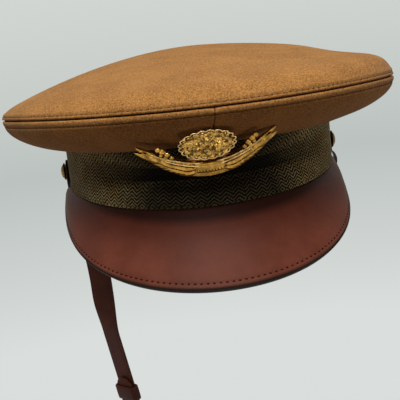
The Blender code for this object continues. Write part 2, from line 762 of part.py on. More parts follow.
def build():
    build_crown()
    build_hoop()
    build_lining()
    stay = build_front_stay()
    build_band()
    build_visor()
    build_buttons()
    build_strap()
    build_left_tab()
    build_badge()
    front = [bpy.data.objects["side_panel_front_left"],
             bpy.data.objects["side_panel_front_right"]]
    build_badge_fixings(front, stay)


build()
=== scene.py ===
"""Looks of the peaked cap: fine surfaces, procedural materials, studio and camera."""
import math
import random

import bmesh
import bpy
import numpy as np
from mathutils import Matrix, Vector


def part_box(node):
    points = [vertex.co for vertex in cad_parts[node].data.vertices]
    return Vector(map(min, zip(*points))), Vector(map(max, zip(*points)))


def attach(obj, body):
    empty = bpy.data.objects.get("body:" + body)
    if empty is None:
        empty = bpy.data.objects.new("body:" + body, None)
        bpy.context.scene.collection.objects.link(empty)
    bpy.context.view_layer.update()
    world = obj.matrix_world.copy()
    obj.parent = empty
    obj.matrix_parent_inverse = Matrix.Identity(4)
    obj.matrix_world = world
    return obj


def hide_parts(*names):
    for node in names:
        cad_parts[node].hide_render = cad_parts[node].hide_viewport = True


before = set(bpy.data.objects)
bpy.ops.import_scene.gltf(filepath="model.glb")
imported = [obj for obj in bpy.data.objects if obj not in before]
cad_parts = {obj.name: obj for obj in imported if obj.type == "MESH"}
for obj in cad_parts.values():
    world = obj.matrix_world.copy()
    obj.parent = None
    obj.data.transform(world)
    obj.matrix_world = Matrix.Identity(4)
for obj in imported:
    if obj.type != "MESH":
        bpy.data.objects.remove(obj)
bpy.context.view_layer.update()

MM = 0.001
DEG = math.pi / 180
TURN = 2 * math.pi


def node_box(node):
    """Lowest and highest corner of a CAD node, as two arrays."""
    low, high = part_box(node)
    return np.array(low), np.array(high)


# ---- dimensions: read off the frame, and the forms that its boxes can't say ----------------
BRAID_LOW, BRAID_HIGH = node_box("braid_band")
CROWN_LOW, CROWN_HIGH = node_box("crown_top")
BUTTON_LOW, BUTTON_HIGH = node_box("left_button")

BAND_HALF_WIDTH = 87.5 * MM        # outside of the braid
BAND_HALF_LENGTH = 107.0 * MM
BAND_EGG = 0.04
BAND_BOTTOM = BRAID_LOW[2]
BAND_TOP = BRAID_HIGH[2]
DENT_DEPTH = 6.0 * MM              # the crease across the front of the band
DENT_HEIGHT = 20.0 * MM
DENT_SPREAD = 8.5 * MM
FRONT_LEAN = 2.2 * MM
BRAID_THICK = 1.3 * MM
SWEAT_INSET = 5.2 * MM
SWEAT_THICK = 1.0 * MM

RIM_HALF_WIDTH = (CROWN_HIGH[0] - CROWN_LOW[0]) / 2
RIM_HALF_LENGTH = 143.3 * MM
RIM_CENTRE_X = (CROWN_HIGH[0] + CROWN_LOW[0]) / 2
RIM_CENTRE_Y = 3.15 * MM
RIM_SIDE_HEIGHT = 46.9 * MM
RIM_FRONT_RISE = 18.1 * MM
RIM_FRONT_ROUND = 6.92 * MM
RIM_BACK_LIFT = 13.2 * MM
DOME_BASE = 47.0 * MM
DOME_RISE = 33.2 * MM
APEX_SHIFT = (0.0, 20.0 * MM)
PILLOW_POWER = 40
PILLOW_RISE = 9.6 * MM
PILLOW_MORE = 1.5 * MM
PILLOW_LESS = -4.8 * MM
HOLLOW_DEPTH = 1.9 * MM            # a hollow in the top near its +X edge
TOP_EDGE_LIFT = 2.4 * MM
PANEL_EDGE_DROP = 2.3 * MM
DROOP_SIDE = 29.5 * MM
DROOP_FRONT_RISE = 5.0 * MM
PANEL_FOLD_OUT = 3.5 * MM
PANEL_FOOT = 37.2 * MM             # where the panels are sewn to the band's upper edge
CLOTH_THICK = 1.3 * MM
PANEL_THICK = 1.2 * MM
SEAM_GAP = 0.4 * MM
WELT_SCALE = 0.990
WELT_RADIUS = 0.4 * MM
LINING_SCALE = 0.93
LINING_DROP = 7.0 * MM
LINING_FOOT = 40.0 * MM
LINING_THICK = 0.8 * MM

VISOR_HALF_WIDTH = 90.3 * MM
VISOR_SWELL = 1.2 * MM
VISOR_SHIFT = -2.2 * MM
VISOR_SKEW = 0.0175
VISOR_REACH = 167.0 * MM
VISOR_POWER = 0.62
VISOR_BACK_Y = 22.8 * MM
VISOR_PITCH = 11.9 * DEG
VISOR_END = 86 * DEG
VISOR_BULGE = 1.2 * MM
VISOR_PLIES = (("visor_top_leather", 1.2 * MM), ("visor_core_board", 0.9 * MM),
               ("visor_lining", 0.8 * MM))
VISOR_PLY_GAP = 0.3 * MM

BUTTON_Y = (BUTTON_LOW[1] + BUTTON_HIGH[1]) / 2
BUTTON_Z = (BUTTON_LOW[2] + BUTTON_HIGH[2]) / 2
BUTTON_RADIUS = (BUTTON_HIGH[1] - BUTTON_LOW[1]) / 2
DOME_FACE = 90.5 * MM

STRAP_WIDTH = 16.0 * MM
STRAP_THICK = 1.6 * MM
STRAP_LEAN = 8.1 * DEG
STRAP_TWIST_MID = 68 * DEG
STRAP_TWIST_LOW = 44 * DEG
TWIST_Z = -2 * MM
TWIST_BACK_Z = -82 * MM
STRAP_KNEE = (-76.6 * MM, -113.0 * MM)
STRAP_TOP_X = -88.85 * MM          # under the button's dome
STRAP_UPPER_END = 93.0 * MM
STRAP_LOWER_START = 34.0 * MM
STRAP_LOWER_END = 168.0 * MM
PLY_GAP = 0.35 * MM
KEEPERS = (("strap_keeper_upper", 46.0 * MM, "strap_bottom_half"),
           ("strap_keeper_lower", 83.0 * MM, "strap_top_half"))
KEEPER_LENGTH = 11.0 * MM
KEEPER_THICK = 1.3 * MM
HOLE_RADIUS = 2.3 * MM
TAB_HALF_WIDTH = 4.4 * MM

BADGE_TILT = 28 * DEG
BADGE_ROLL = 2.75 * DEG
BADGE_TOP = np.array((-1.3 * MM, -126.7 * MM, 39.6 * MM))
BADGE_HEIGHT = 31.0 * MM
BADGE_HALF_WIDTH = 36.2 * MM
BADGE_BEND = 104.0 * MM
WREATH_FOOT = -7.0 * MM
WREATH_RISE = 19.9 * MM
LEAF_ROWS = 9
CLASP_HALF_WIDTH = 7.5 * MM
CLASP_HALF_HEIGHT = 3.1 * MM
ROSETTE_AT = 15.6 * MM

BRAID_COLUMN = 3.2 * MM             # a herringbone column's width, its slope and rib spacing
BRAID_SLANT = 0.85
BRAID_RIB = 2.0 * MM
SEAM_STITCH_PITCH = 3.4 * MM
TOP_STITCH_INSET = 1.9 * MM         # topstitching, from the sewn edge of the cloth
PANEL_STITCH_INSET = 3.7 * MM
VISOR_STITCH_PITCH = 3.3 * MM
VISOR_STITCH_INSET = 3.6 * MM
STITCH_LENGTH = 1.7 * MM
STITCH_ARCH = 0.12 * MM
SEAM_THREAD = 0.25 * MM             # radius of a topstitch


# ---- procedural materials -------------------------------------------------------------------
class Look:
    """A material whose nodes are added by short calls. Plain values sit on the shader itself."""

    def __init__(self, name, **plain):
        self.material = bpy.data.materials.new(name)
        self.material.use_nodes = True
        self.tree = self.material.node_tree
        self.shader = self.tree.nodes["Principled BSDF"]
        for key, value in plain.items():
            self.shader.inputs[key.replace("_", " ")].default_value = value
        self.bumps = None

    def feed(self, socket, value):
        if isinstance(value, bpy.types.NodeSocket):
            self.tree.links.new(value, socket)
        else:
            socket.default_value = value

    def node(self, kind, inputs, **settings):
        made = self.tree.nodes.new("ShaderNode" + kind)
        for key, value in settings.items():
            setattr(made, key, value)
        for key, value in inputs.items():
            self.feed(made.inputs[key], value)
        return made

    def place(self, kind="Object", scale=(1, 1, 1), turn=0.0):
        where = self.node("TexCoord", {}).outputs[kind]
        mapped = self.node("Mapping", {"Vector": where, "Scale": scale,
                                       "Rotation": (0, 0, turn)})
        return mapped.outputs["Vector"]

    def noise(self, where, scale, detail=2.0, rough=0.5):
        made = self.node("TexNoise", {"Vector": where, "Scale": scale, "Detail": detail,
                                      "Roughness": rough})
        return made.outputs["Fac"]

    def cells(self, where, scale):
        return self.node("TexVoronoi", {"Vector": where, "Scale": scale}).outputs["Distance"]

    def math(self, operation, a, b=0.0):
        made = self.tree.nodes.new("ShaderNodeMath")
        made.operation = operation
        self.feed(made.inputs[0], a)
        self.feed(made.inputs[1], b)
        return made.outputs[0]

    def ramp(self, value, low, high, to_low=0.0, to_high=1.0):
        made = self.node("MapRange", {"Value": value, "From Min": low, "From Max": high,
                                      "To Min": to_low, "To Max": to_high}, clamp=True)
        return made.outputs["Result"]

    def mix(self, share, a, b, blend="MIX"):
        made = self.tree.nodes.new("ShaderNodeMix")
        made.data_type = "RGBA"
        made.blend_type = blend
        self.feed(made.inputs["Factor"], share)
        for socket, value in ((made.inputs[6], a), (made.inputs[7], b)):
            self.feed(socket, value if isinstance(value, bpy.types.NodeSocket) else (*value, 1))
        return made.outputs[2]

    def tint(self, base, value, low, high, colour, share=1.0):
        """Lays a colour over base where value passes from low to high."""
        return self.mix(self.ramp(value, low, high, 0.0, share), base, colour)

    def wave(self, value, length):
        return self.math("SINE", self.math("MULTIPLY", value, TURN / length))

    def colour(self, value):
        self.feed(self.shader.inputs["Base Color"], value)

    def rough(self, value):
        self.feed(self.shader.inputs["Roughness"], value)

    def bump(self, height, depth, strength=1.0):
        """Adds relief of that depth, in metres, on top of the relief so far."""
        inputs = {"Height": height, "Distance": depth, "Strength": strength}
        if self.bumps is not None:
            inputs["Normal"] = self.bumps
        self.bumps = self.node("Bump", inputs).outputs["Normal"]
        self.feed(self.shader.inputs["Normal"], self.bumps)


def backdrop_look():
    """Pale paper that glows by itself: it darkens outwards and clears again up the wall."""
    look = Look("backdrop_paper")
    where = look.place()
    flat = look.node("VectorMath", {0: where, 1: (1, 1, 0)}, operation="MULTIPLY")
    reach = look.node("VectorMath", {0: flat.outputs["Vector"]}, operation="LENGTH")
    height = look.node("SeparateXYZ", {0: where}).outputs["Z"]
    climb = look.math("ADD", reach.outputs["Value"], height)
    tone = look.node("ValToRGB", {"Fac": look.ramp(climb, 0.8, 3.2)})
    stops = tone.color_ramp.elements
    stops[0].color = (0.70, 0.73, 0.715, 1)
    stops[1].color = (0.64, 0.67, 0.64, 1)
    stops.new(0.54).color = (0.50, 0.54, 0.52, 1)
    glow = look.node("Emission", {"Color": tone.outputs["Color"]})
    look.feed(look.tree.nodes["Material Output"].inputs["Surface"], glow.outputs[0])
    look.tree.nodes.remove(look.shader)
    return look.material


def wool(name, light, dark, stitched=None):
    """Napped wool cloth: mottled, with short fibres. stitched is how far from the sewn edge a line of
    topstitching pulls a groove, painted dark with shade, and puckers the cloth."""
    look = Look(name, Roughness=0.95, Sheen_Weight=0.06, Sheen_Roughness=0.5,
                Specular_IOR_Level=0.08)
    where = look.place()
    broad = look.noise(where, 45, 3, 0.6)
    nap = look.noise(where, 880, 4, 0.75)
    fleck = look.noise(where, 1500, 2, 0.5)
    base = look.tint(dark, nap, 0.41, 0.60, light)
    broad_tone = look.tint(base, broad, 0.38, 0.66, tuple(c * 1.22 for c in light), 0.35)
    pale = tuple(min(1.0, c * 1.5 + 0.02) for c in light)
    flecked = look.tint(broad_tone, fleck, 0.63, 0.72, pale, 0.6)
    dark_fleck = tuple(c * 0.35 for c in dark)
    tone = look.tint(flecked, fleck, 0.42, 0.32, dark_fleck, 0.8)
    look.bump(nap, 0.30 * MM, 0.8)
    look.bump(fleck, 0.12 * MM, 0.7)
    look.bump(broad, 1.0 * MM, 0.35)
    if stitched:
        along = look.node("SeparateXYZ", {0: look.place("UV")})
        off_line = look.math("ABSOLUTE", look.math("SUBTRACT", along.outputs[1], stitched))
        # Painted shade: a dark line along the stitching groove.
        tone = look.mix(look.ramp(off_line, 0.1 * MM, 0.65 * MM, 0.5, 0.0), tone, dark_fleck)
        wave = look.wave(along.outputs[0], SEAM_STITCH_PITCH)
        near = look.ramp(along.outputs[1], 1.5 * MM, 9 * MM, 1.0, 0.0)
        look.bump(look.math("MULTIPLY", wave, look.math("MULTIPLY", near, near)), 0.13 * MM)
    look.colour(tone)
    return look.material


def thread(name, colour):
    look = Look(name, Roughness=0.8, Specular_IOR_Level=0.1)
    fibre = look.noise(look.place(), 4200, 2)
    look.colour(look.mix(look.ramp(fibre, 0.35, 0.7), tuple(c * 0.55 for c in colour), colour))
    look.bump(fibre, 0.08 * MM, 0.8)
    return look.material


def braid_look(name):
    """Herringbone mohair braid: slanting ribs that change direction every few millimetres, with
    painted shade between the ribs and across the crease at the front.
    """
    look = Look(name, Specular_IOR_Level=0.05)
    where = look.place("UV")
    run = look.node("SeparateXYZ", {0: where})
    zigzag = look.math("PINGPONG", run.outputs[0], BRAID_COLUMN)
    slant = look.math("ADD", run.outputs[1], look.math("MULTIPLY", zigzag, BRAID_SLANT))
    wobble = look.math("SUBTRACT", look.noise(where, 420, 2), 0.5)
    slant = look.math("ADD", slant, look.math("MULTIPLY", wobble, 0.9 * MM))
    wave = look.wave(slant, BRAID_RIB)
    height = look.ramp(wave, -0.1, 0.55)
    across = look.math("SUBTRACT", run.outputs[0], look.math("MULTIPLY", slant, 0.35))
    cross = look.wave(across, 1.05 * MM)
    threads = look.ramp(cross, -0.9, 0.6, 0.35, 1.0)
    patches = look.noise(look.place(), 120, 3)
    fibre = look.noise(look.place(), 3500, 2)
    gold = look.mix(look.ramp(patches, 0.38, 0.62), (0.80, 0.58, 0.23), (1.0, 0.86, 0.46))
    # Painted shade: the gaps between the ribs and threads are painted near black, on top of their
    # bumps.
    ribs = look.mix(look.math("MULTIPLY", height, threads), (0.005, 0.003, 0.0012), gold)
    haired = look.tint(ribs, fibre, 0.5, 0.75, (0.72, 0.58, 0.32), 0.3)
    # Painted shade: near black across the front crease and over the middle front, where the badge and
    # the crown's overhang shade the band.
    spot = look.node("SeparateXYZ", {0: look.place()})
    front = look.ramp(spot.outputs[1], -52 * MM, -92 * MM)
    middle = look.ramp(spot.outputs[1], -78 * MM, -97 * MM, 0.0, 0.90)
    off_crease = look.math("ABSOLUTE", look.math("SUBTRACT", spot.outputs[2], DENT_HEIGHT - 1 * MM))
    crease = look.math("MULTIPLY", front, look.ramp(off_crease, 3.0 * MM, 8.5 * MM, 0.99, 0.0))
    painted_shade = look.math("MAXIMUM", crease, middle)
    look.colour(look.mix(painted_shade, haired, (0.001, 0.0007, 0.0004)))
    look.rough(look.ramp(height, 0, 1, 0.85, 0.5))
    look.bump(height, 0.55 * MM)
    look.bump(threads, 0.22 * MM, 0.8)
    look.bump(fibre, 0.05 * MM, 0.6)
    return look.material


def leather(name, colour, dark, grain=900, rough=(0.34, 0.5), crack=0.0, shade=None, shine=0.5):
    """Finished leather: pebble grain, worn patches, fine scratches; shade(look, colour) tints it."""
    look = Look(name, Specular_IOR_Level=shine, Coat_Weight=0.1 * shine, Coat_Roughness=0.3)
    where = look.place()
    pebble = look.cells(where, grain)
    pores = look.noise(where, grain * 2.4, 3, 0.6)
    patches = look.noise(where, 60, 4, 0.6)
    streak = look.noise(look.place("Object", (1, 0.12, 1), 0.5), 700, 3, 0.7)
    base = look.tint(dark, patches, 0.35, 0.68, colour)
    base = look.tint(base, pores, 0.58, 0.75, tuple(c * 1.7 for c in colour), 0.3)
    base = look.tint(base, streak, 0.66, 0.74, tuple(c * 0.4 for c in dark), 0.35 + crack)
    look.colour(shade(look, base) if shade else base)
    look.rough(look.ramp(look.math("ADD", patches, look.math("MULTIPLY", pores, 0.5)),
                         0.4, 1.0, *rough))
    look.bump(pebble, 0.10 * MM, 0.5)
    look.bump(pores, 0.05 * MM, 0.5)
    look.bump(patches, 0.5 * MM, 0.25)
    return look.material


def gilt(name, colour=(0.64, 0.35, 0.07), tarnish=(0.07, 0.031, 0.007), rough=(0.22, 0.42),
         chased=0.0):
    """Gilt brass with tarnish in patches and wear, and a fine speckle of painted highlight; chased is
    the depth of a punched ground.
    """
    look = Look(name, Metallic=1.0)
    where = look.place()
    patches = look.noise(where, 260, 4, 0.65)
    fine = look.noise(where, 1500, 3, 0.6)
    base = look.tint(colour, patches, 0.42, 0.66, tarnish, 0.85)
    # Painted highlight: a fine speckle of pale gold.
    base = look.tint(base, fine, 0.55, 0.72, (0.90, 0.62, 0.24), 0.45)
    look.rough(look.ramp(patches, 0.3, 0.75, *rough))
    look.bump(fine, 0.05 * MM, 0.5)
    look.bump(patches, 0.15 * MM, 0.3)
    if chased:
        pits = look.cells(where, 640)
        rings = look.ramp(look.noise(where, 420, 1), 0.35, 0.65)
        base = look.tint(base, pits, 0.42, 0.75, (0.035, 0.018, 0.006), 0.9)
        look.bump(pits, chased, 0.9)
        look.bump(rings, chased * 1.4, 0.7)
    look.colour(base)
    return look.material


def steel(name):
    look = Look(name, Metallic=1.0)
    where = look.place()
    rust = look.noise(where, 260, 5, 0.7)
    drawn = look.noise(where, 1800, 2)
    look.colour(look.mix(look.ramp(rust, 0.55, 0.72), (0.42, 0.41, 0.39), (0.16, 0.075, 0.035)))
    look.rough(look.ramp(rust, 0.4, 0.7, 0.32, 0.8))
    look.bump(drawn, 0.04 * MM, 0.6)
    look.bump(rust, 0.12 * MM, 0.4)
    return look.material


def board(name):
    """Pressed fibre board, seen where the band's stiffening and the visor's core show."""
    look = Look(name, Roughness=0.9, Specular_IOR_Level=0.2)
    fibres = look.noise(look.place("Object", (1, 1, 0.25)), 1600, 4, 0.7)
    clump = look.noise(look.place(), 220, 3)
    tone = look.mix(look.ramp(fibres, 0.35, 0.68), (0.12, 0.082, 0.045), (0.30, 0.22, 0.13))
    look.colour(look.tint(tone, clump, 0.45, 0.7, (0.20, 0.14, 0.08), 0.5))
    look.bump(fibres, 0.15 * MM, 0.8)
    return look.material


def satin(name, colour):
    """Lining cloth: a smooth weave with a soft shine and faint sweat stains."""
    look = Look(name, Sheen_Weight=0.2, Specular_IOR_Level=0.45)
    where = look.place("UV")
    run = look.node("SeparateXYZ", {0: where})
    warp = look.wave(run.outputs[0], 0.45 * MM)
    weft = look.wave(run.outputs[1], 0.6 * MM)
    weave = look.ramp(look.math("ADD", warp, weft), -2, 2)
    stain = look.noise(look.place(), 28, 4, 0.6)
    slub = look.noise(look.place(), 900, 3)
    base = look.tint(colour, stain, 0.45, 0.75, tuple(c * 0.5 for c in colour), 0.6)
    look.colour(look.tint(base, slub, 0.4, 0.7, tuple(c * 1.3 for c in colour), 0.3))
    look.rough(look.ramp(stain, 0.3, 0.8, 0.38, 0.6))
    look.bump(weave, 0.06 * MM, 0.6)
    look.bump(slub, 0.08 * MM, 0.4)
    return look.material


def clear_film(name):
    look = Look(name, Roughness=0.12, IOR=1.49, Transmission_Weight=0.85)
    haze = look.noise(look.place(), 90, 4, 0.6)
    look.colour(look.mix(look.ramp(haze, 0.4, 0.7), (0.92, 0.88, 0.72), (0.75, 0.62, 0.38)))
    look.bump(haze, 0.4 * MM, 0.3)
    return look.material


# ---- meshes from grids of points -------------------------------------------------------------
def points(x, y, z):
    return np.stack(np.broadcast_arrays(x, y, z), axis=-1)


def unit(v):
    return v / np.maximum(np.linalg.norm(v, axis=-1, keepdims=True), 1e-12)


def around(count):
    """Even angles round a full turn."""
    return np.arange(count) * TURN / count


def hill(x, centre, width):
    """A smooth hump, 1 high at its centre."""
    return np.exp(-((x - centre) / width) ** 2)


def raised(place, z):
    """Points moved up by z."""
    return place + points(0.0 * z, 0.0 * z, z)


def new_object(name, data):
    made = bpy.data.objects.new(name, data)
    bpy.context.scene.collection.objects.link(made)
    return made


def object_of(name, bm):
    """Turns a bmesh into an object and lets the bmesh go."""
    mesh = bpy.data.meshes.new(name)
    bm.to_mesh(mesh)
    bm.free()
    return new_object(name, mesh)


def grid_normals(grid, ring, outward_from):
    """Unit normals of a grid of rows; they face away from the point outward_from."""
    if ring:
        across = np.roll(grid, -1, 1) - np.roll(grid, 1, 1)
    else:
        across = np.gradient(grid, axis=1)
    normal = unit(np.cross(across, np.gradient(grid, axis=0)))
    away = ((grid - np.array(outward_from)) * normal).sum()
    return normal if away > 0 else -normal


def run_length(grid, axis):
    """Distance along the surface from the grid's first row (axis 0) or column (axis 1)."""
    steps = np.linalg.norm(np.diff(grid, axis=axis), axis=-1)
    start = np.zeros_like(np.take(steps, [0], axis=axis))
    return np.concatenate([start, np.cumsum(steps, axis=axis)], axis=axis)


def grid_object(name, grid, ring=False, closed_rows=False, tip=None, outward_from=None, uv=None,
                thickness=0.0, offset=-1.0, capped=False):
    """A mesh through a grid of rows. tip is a pole after the last row; thickness is Solidify's;
    capped fills a tube's two ends."""
    rows, count = grid.shape[:2]
    spans = count if ring else count - 1
    steps = rows if closed_rows else rows - 1
    i, j = np.meshgrid(np.arange(steps), np.arange(spans), indexing="ij")
    next_i = (i + 1) % rows
    next_j = (j + 1) % count
    corners = [i * count + j, i * count + next_j, next_i * count + next_j, next_i * count + j]
    faces = np.stack(corners, axis=-1).reshape(-1, 4).tolist()
    verts = grid.reshape(-1, 3).tolist()
    if uv is None:
        uv = np.stack([run_length(grid, 1), run_length(grid, 0)], axis=-1)
    if ring:
        closing = np.linalg.norm(grid[:, 0] - grid[:, -1], axis=-1) + uv[:, -1, 0]
        uv = np.concatenate([uv, np.stack([closing, uv[:, -1, 1]], axis=-1)[:, None]], axis=1)
    if closed_rows:
        uv = np.concatenate([uv, uv[-1:] + (0, 1 * MM)], axis=0)
    marks = [uv[i, j], uv[i, j + 1], uv[i + 1, j + 1], uv[i + 1, j]]
    loops = np.stack(marks, axis=-2).reshape(-1, 2)
    if tip is not None:
        verts.append(list(tip))
        last = (rows - 1) * count
        for k in range(spans):
            faces.append([last + k, last + (k + 1) % count, len(verts) - 1])
        fan = [(uv[-1, k], uv[-1, k + 1], uv[-1, k]) for k in range(spans)]
        loops = np.concatenate([loops, np.array(fan).reshape(-1, 2)])
    mesh = bpy.data.meshes.new(name)
    mesh.from_pydata(verts, [], faces)
    mesh.uv_layers.new(name="UVMap").data.foreach_set("uv", loops.ravel())
    if outward_from is not None:
        middles = np.zeros(len(faces) * 3)
        normals = np.zeros(len(faces) * 3)
        mesh.polygons.foreach_get("center", middles)
        mesh.polygons.foreach_get("normal", normals)
        if ((middles.reshape(-1, 3) - np.array(outward_from)) * normals.reshape(-1, 3)).sum() < 0:
            mesh.flip_normals()
    mesh.shade_smooth()
    made = new_object(name, mesh)
    if capped or (ring and closed_rows):
        make_solid(made)
    if thickness:
        solid = made.modifiers.new("thickness", "SOLIDIFY")
        solid.thickness = thickness
        solid.offset = offset
        solid.use_quality_normals = True
    return made


def make_solid(piece):
    """Fills a tube's open ends and turns its faces outwards."""
    bm = bmesh.new()
    bm.from_mesh(piece.data)
    rim = [e for e in bm.edges if len(e.link_faces) == 1]
    bmesh.ops.holes_fill(bm, edges=rim, sides=0)
    bmesh.ops.recalc_face_normals(bm, faces=bm.faces[:])
    bm.to_mesh(piece.data)
    bm.free()


def dress(piece, look, body="cap", stands_for=()):
    """Gives a piece its material, its body and the CAD nodes that it is shown in place of."""
    piece.data.materials.append(look)
    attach(piece, body)
    if stands_for:
        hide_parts(*stands_for)
    return piece


def capsule_row(name, centres, along, up, length, radius):
    """Many short threads as one mesh: round-ended, slightly arched capsules along a seam."""
    sides = 6
    shares = np.array((-1.0, -0.86, -0.45, 0.0, 0.45, 0.86, 1.0))
    widths = np.array((0.05, 0.62, 1.0, 1.05, 1.0, 0.62, 0.05))
    across = unit(np.cross(along, up))
    angles = around(sides)
    lift = STITCH_ARCH * (1 - shares ** 2)
    ring = (across[:, None, None] * np.cos(angles)[None, None, :, None]
            + up[:, None, None] * np.sin(angles)[None, None, :, None])
    verts = (centres[:, None, None] + along[:, None, None] * (shares * length / 2)[None, :, None, None]
             + up[:, None, None] * lift[None, :, None, None]
             + ring * radius * widths[None, :, None, None])
    rings = len(shares)
    faces = []
    for k in range(len(centres)):
        base = k * rings * sides
        for i in range(rings - 1):
            for j in range(sides):
                a = base + i * sides + j
                b = base + i * sides + (j + 1) % sides
                faces.append((a, b, b + sides, a + sides))
        faces.append(tuple(base + j for j in reversed(range(sides))))
        faces.append(tuple(base + (rings - 1) * sides + j for j in range(sides)))
    mesh = bpy.data.meshes.new(name)
    mesh.from_pydata(verts.reshape(-1, 3).tolist(), [], faces)
    mesh.shade_smooth()
    return new_object(name, mesh)


def along_line(line, run, at):
    """Points at distances along a polyline, whose corners lie at the distances run."""
    return np.stack([np.interp(at, run, line[:, k]) for k in range(3)], axis=-1)


def sew(name, look, slot, line, normals, pitch, length, radius, ring=False, sink=0.0, body="cap"):
    """A row of stitches at an even pitch along a polyline, as one piece."""
    if ring:
        line = np.concatenate([line, line[:1]])
        normals = np.concatenate([normals, normals[:1]])
    run = run_length(line[:, None], 0)[:, 0]
    count = int(run[-1] / pitch)
    at = (np.arange(count) + 0.5) * run[-1] / count
    step = 0.3 * MM
    along = unit(along_line(line, run, at + step) - along_line(line, run, at - step))
    up = unit(along_line(normals, run, at))
    up = unit(up - along * (up * along).sum(-1, keepdims=True))
    place = along_line(line, run, at) - up * sink
    return dress(capsule_row(name, place, along, up, length, radius), look, body=body)


def turned(profile, origin, direction, steps=48):
    """Rows of a turned piece, from its (radius, height) pairs, top first."""
    z = np.array(Vector(direction).normalized())
    x = unit(np.cross(z, (0.1, 0.9, 0.3)))
    y = np.cross(z, x)
    angles = around(steps)
    wheel = np.cos(angles)[:, None] * x + np.sin(angles)[:, None] * y
    rows = [np.array(origin) + z * h + wheel * r for r, h in profile]
    return np.stack(rows)


def catmull(keys, count):
    """A smooth curve through key points (first axis), at count even steps."""
    keys = np.concatenate([2 * keys[:1] - keys[1:2], keys, 2 * keys[-1:] - keys[-2:-1]])
    spots = np.linspace(0, len(keys) - 3, count)
    i = np.minimum(spots.astype(int), len(keys) - 4)
    s = (spots - i).reshape((-1,) + (1,) * (keys.ndim - 1))
    a, b, c, d = keys[i], keys[i + 1], keys[i + 2], keys[i + 3]
    return 0.5 * (2 * b + (c - a) * s + (2 * a - 5 * b + 4 * c - d) * s ** 2
                  + (3 * b - a - 3 * c + d) * s ** 3)


def ripple(t, seed, low=3, high=14, count=6):
    """A smooth random wave round the cap, between about -1 and 1, with no seam."""
    dice = random.Random(seed)
    total = np.zeros_like(t)
    for _ in range(count):
        total = total + dice.uniform(0.4, 1) * np.sin(dice.randint(low, high) * t
                                                      + dice.uniform(0, TURN))
    return total / count


# ---- the cap's own surfaces, as in the frame --------------------------------------------------
def smooth(x):
    """An easy step from 0 at 0 to 1 at 1."""
    x = np.clip(x, 0, 1)
    return x * x * (3 - 2 * x)


def band_oval(t):
    """Plan outline of the band; t is 0 at the front and a quarter turn at +X."""
    return points(BAND_HALF_WIDTH * np.sin(t) * (1 - BAND_EGG * np.cos(t)),
                  -BAND_HALF_LENGTH * np.cos(t), 0.0 * t)


def band_normal(t):
    along_x = BAND_HALF_WIDTH * (np.cos(t) - BAND_EGG * np.cos(2 * t))
    along_y = BAND_HALF_LENGTH * np.sin(t)
    return unit(points(along_y, -along_x, 0.0 * t))


def dent(t, z):
    """How far the band stands off its oval: the crease across its front and the lean above."""
    frontness = smooth((np.cos(t) - 0.45) / 0.35)
    crease = -DENT_DEPTH * hill(z, DENT_HEIGHT, DENT_SPREAD)
    lean = FRONT_LEAN * np.maximum(0.0, (z - 24 * MM) / (14 * MM))
    return frontness * (crease + lean)


def band_point(t, z, outset=0.0):
    t, z = np.broadcast_arrays(t, z)
    place = band_oval(t) + band_normal(t) * (outset + dent(t, z))[..., None]
    return raised(place, z)


def rim_oval(t, scale=1.0):
    return points(RIM_CENTRE_X + RIM_HALF_WIDTH * np.sin(t) * scale,
                  RIM_CENTRE_Y - RIM_HALF_LENGTH * np.cos(t) * scale, 0.0 * t)


def rim_height(t):
    """Height of the crown's seam, which climbs from the back to the front."""
    c = np.cos(t)
    bend = np.where(c > 0, -RIM_FRONT_ROUND, RIM_BACK_LIFT)
    return RIM_SIDE_HEIGHT + RIM_FRONT_RISE * c + bend * c * c


def rim_point(t, scale=1.0, lift=0.0):
    return raised(rim_oval(t, scale), rim_height(t) + lift)


def rim_rows(t, *steps):
    """Rows just off the rim, from (scale, lift in millimetres) pairs."""
    return np.stack([rim_point(t, scale, lift * MM) for scale, lift in steps])


def droop_height(t):
    """Height of the lowest fold of the side panels."""
    return DROOP_SIDE + DROOP_FRONT_RISE * np.cos(t) ** 2


def panel_flare(t, u):
    """Outer face of a side panel, from its lowest fold, u 0, out to the rim, u 1."""
    angle = u * math.pi / 2
    c = np.cos(t)
    upright = 0.15 + 0.6 * np.maximum(0, c) ** 2 + 0.15 * np.maximum(0, -c)
    fold = band_oval(t) + band_normal(t) * PANEL_FOLD_OUT
    place = fold * (1 - math.sin(angle)) + rim_oval(t) * math.sin(angle)
    low = droop_height(t)
    rise = (1 - upright) * (1 - math.cos(angle)) + upright * math.sin(angle)
    z = low + (rim_height(t) - PANEL_EDGE_DROP - low) * rise
    return raised(place, z)


def pillow_height(t):
    """How far the stuffed top stands above its seam, fuller on the +X side."""
    s = np.sin(t)
    return PILLOW_RISE + np.where(s > 0, PILLOW_MORE, PILLOW_LESS) * s * s


def top_point(t, r, drop=0.0, scale=1.0):
    """Crown top, r of the way from its apex to the rim."""
    pillow = pillow_height(t)
    z = rim_height(t) * r * r + DOME_BASE * (1 - r * r)
    z = z + TOP_EDGE_LIFT + (pillow - TOP_EDGE_LIFT) * (1 - r ** PILLOW_POWER)
    z = z + (DOME_RISE - pillow) * (1 - r * r)
    side = np.maximum(0.0, np.sin(t))
    z = z - HOLLOW_DEPTH * side * side * hill(r, 0.75, 0.13)
    x_shift, y_shift = APEX_SHIFT
    spread = 1 - r * r
    return rim_oval(t, r * scale) + points(x_shift * spread + 0.0 * t, y_shift * spread + 0.0 * t,
                                           z - drop)


# ---- crown --------------------------------------------------------------------------------------
def crown_edge_relief(distance):
    """Turned edge beside the crown seam, with the groove that the topstitching pulls."""
    groove = -0.45 * MM * hill(distance, TOP_STITCH_INSET, 0.5 * MM)
    puff = 0.3 * MM * hill(distance, 3.6 * MM, 1.3 * MM)
    return groove + puff


def cloth_uv(along, distance):
    """Runs along and away from a sewn edge; the two rows turned in behind it count as 0."""
    away = np.concatenate([np.zeros((2, distance.shape[1])), distance])
    return np.stack([along.repeat(len(away), 0), away], axis=-1)


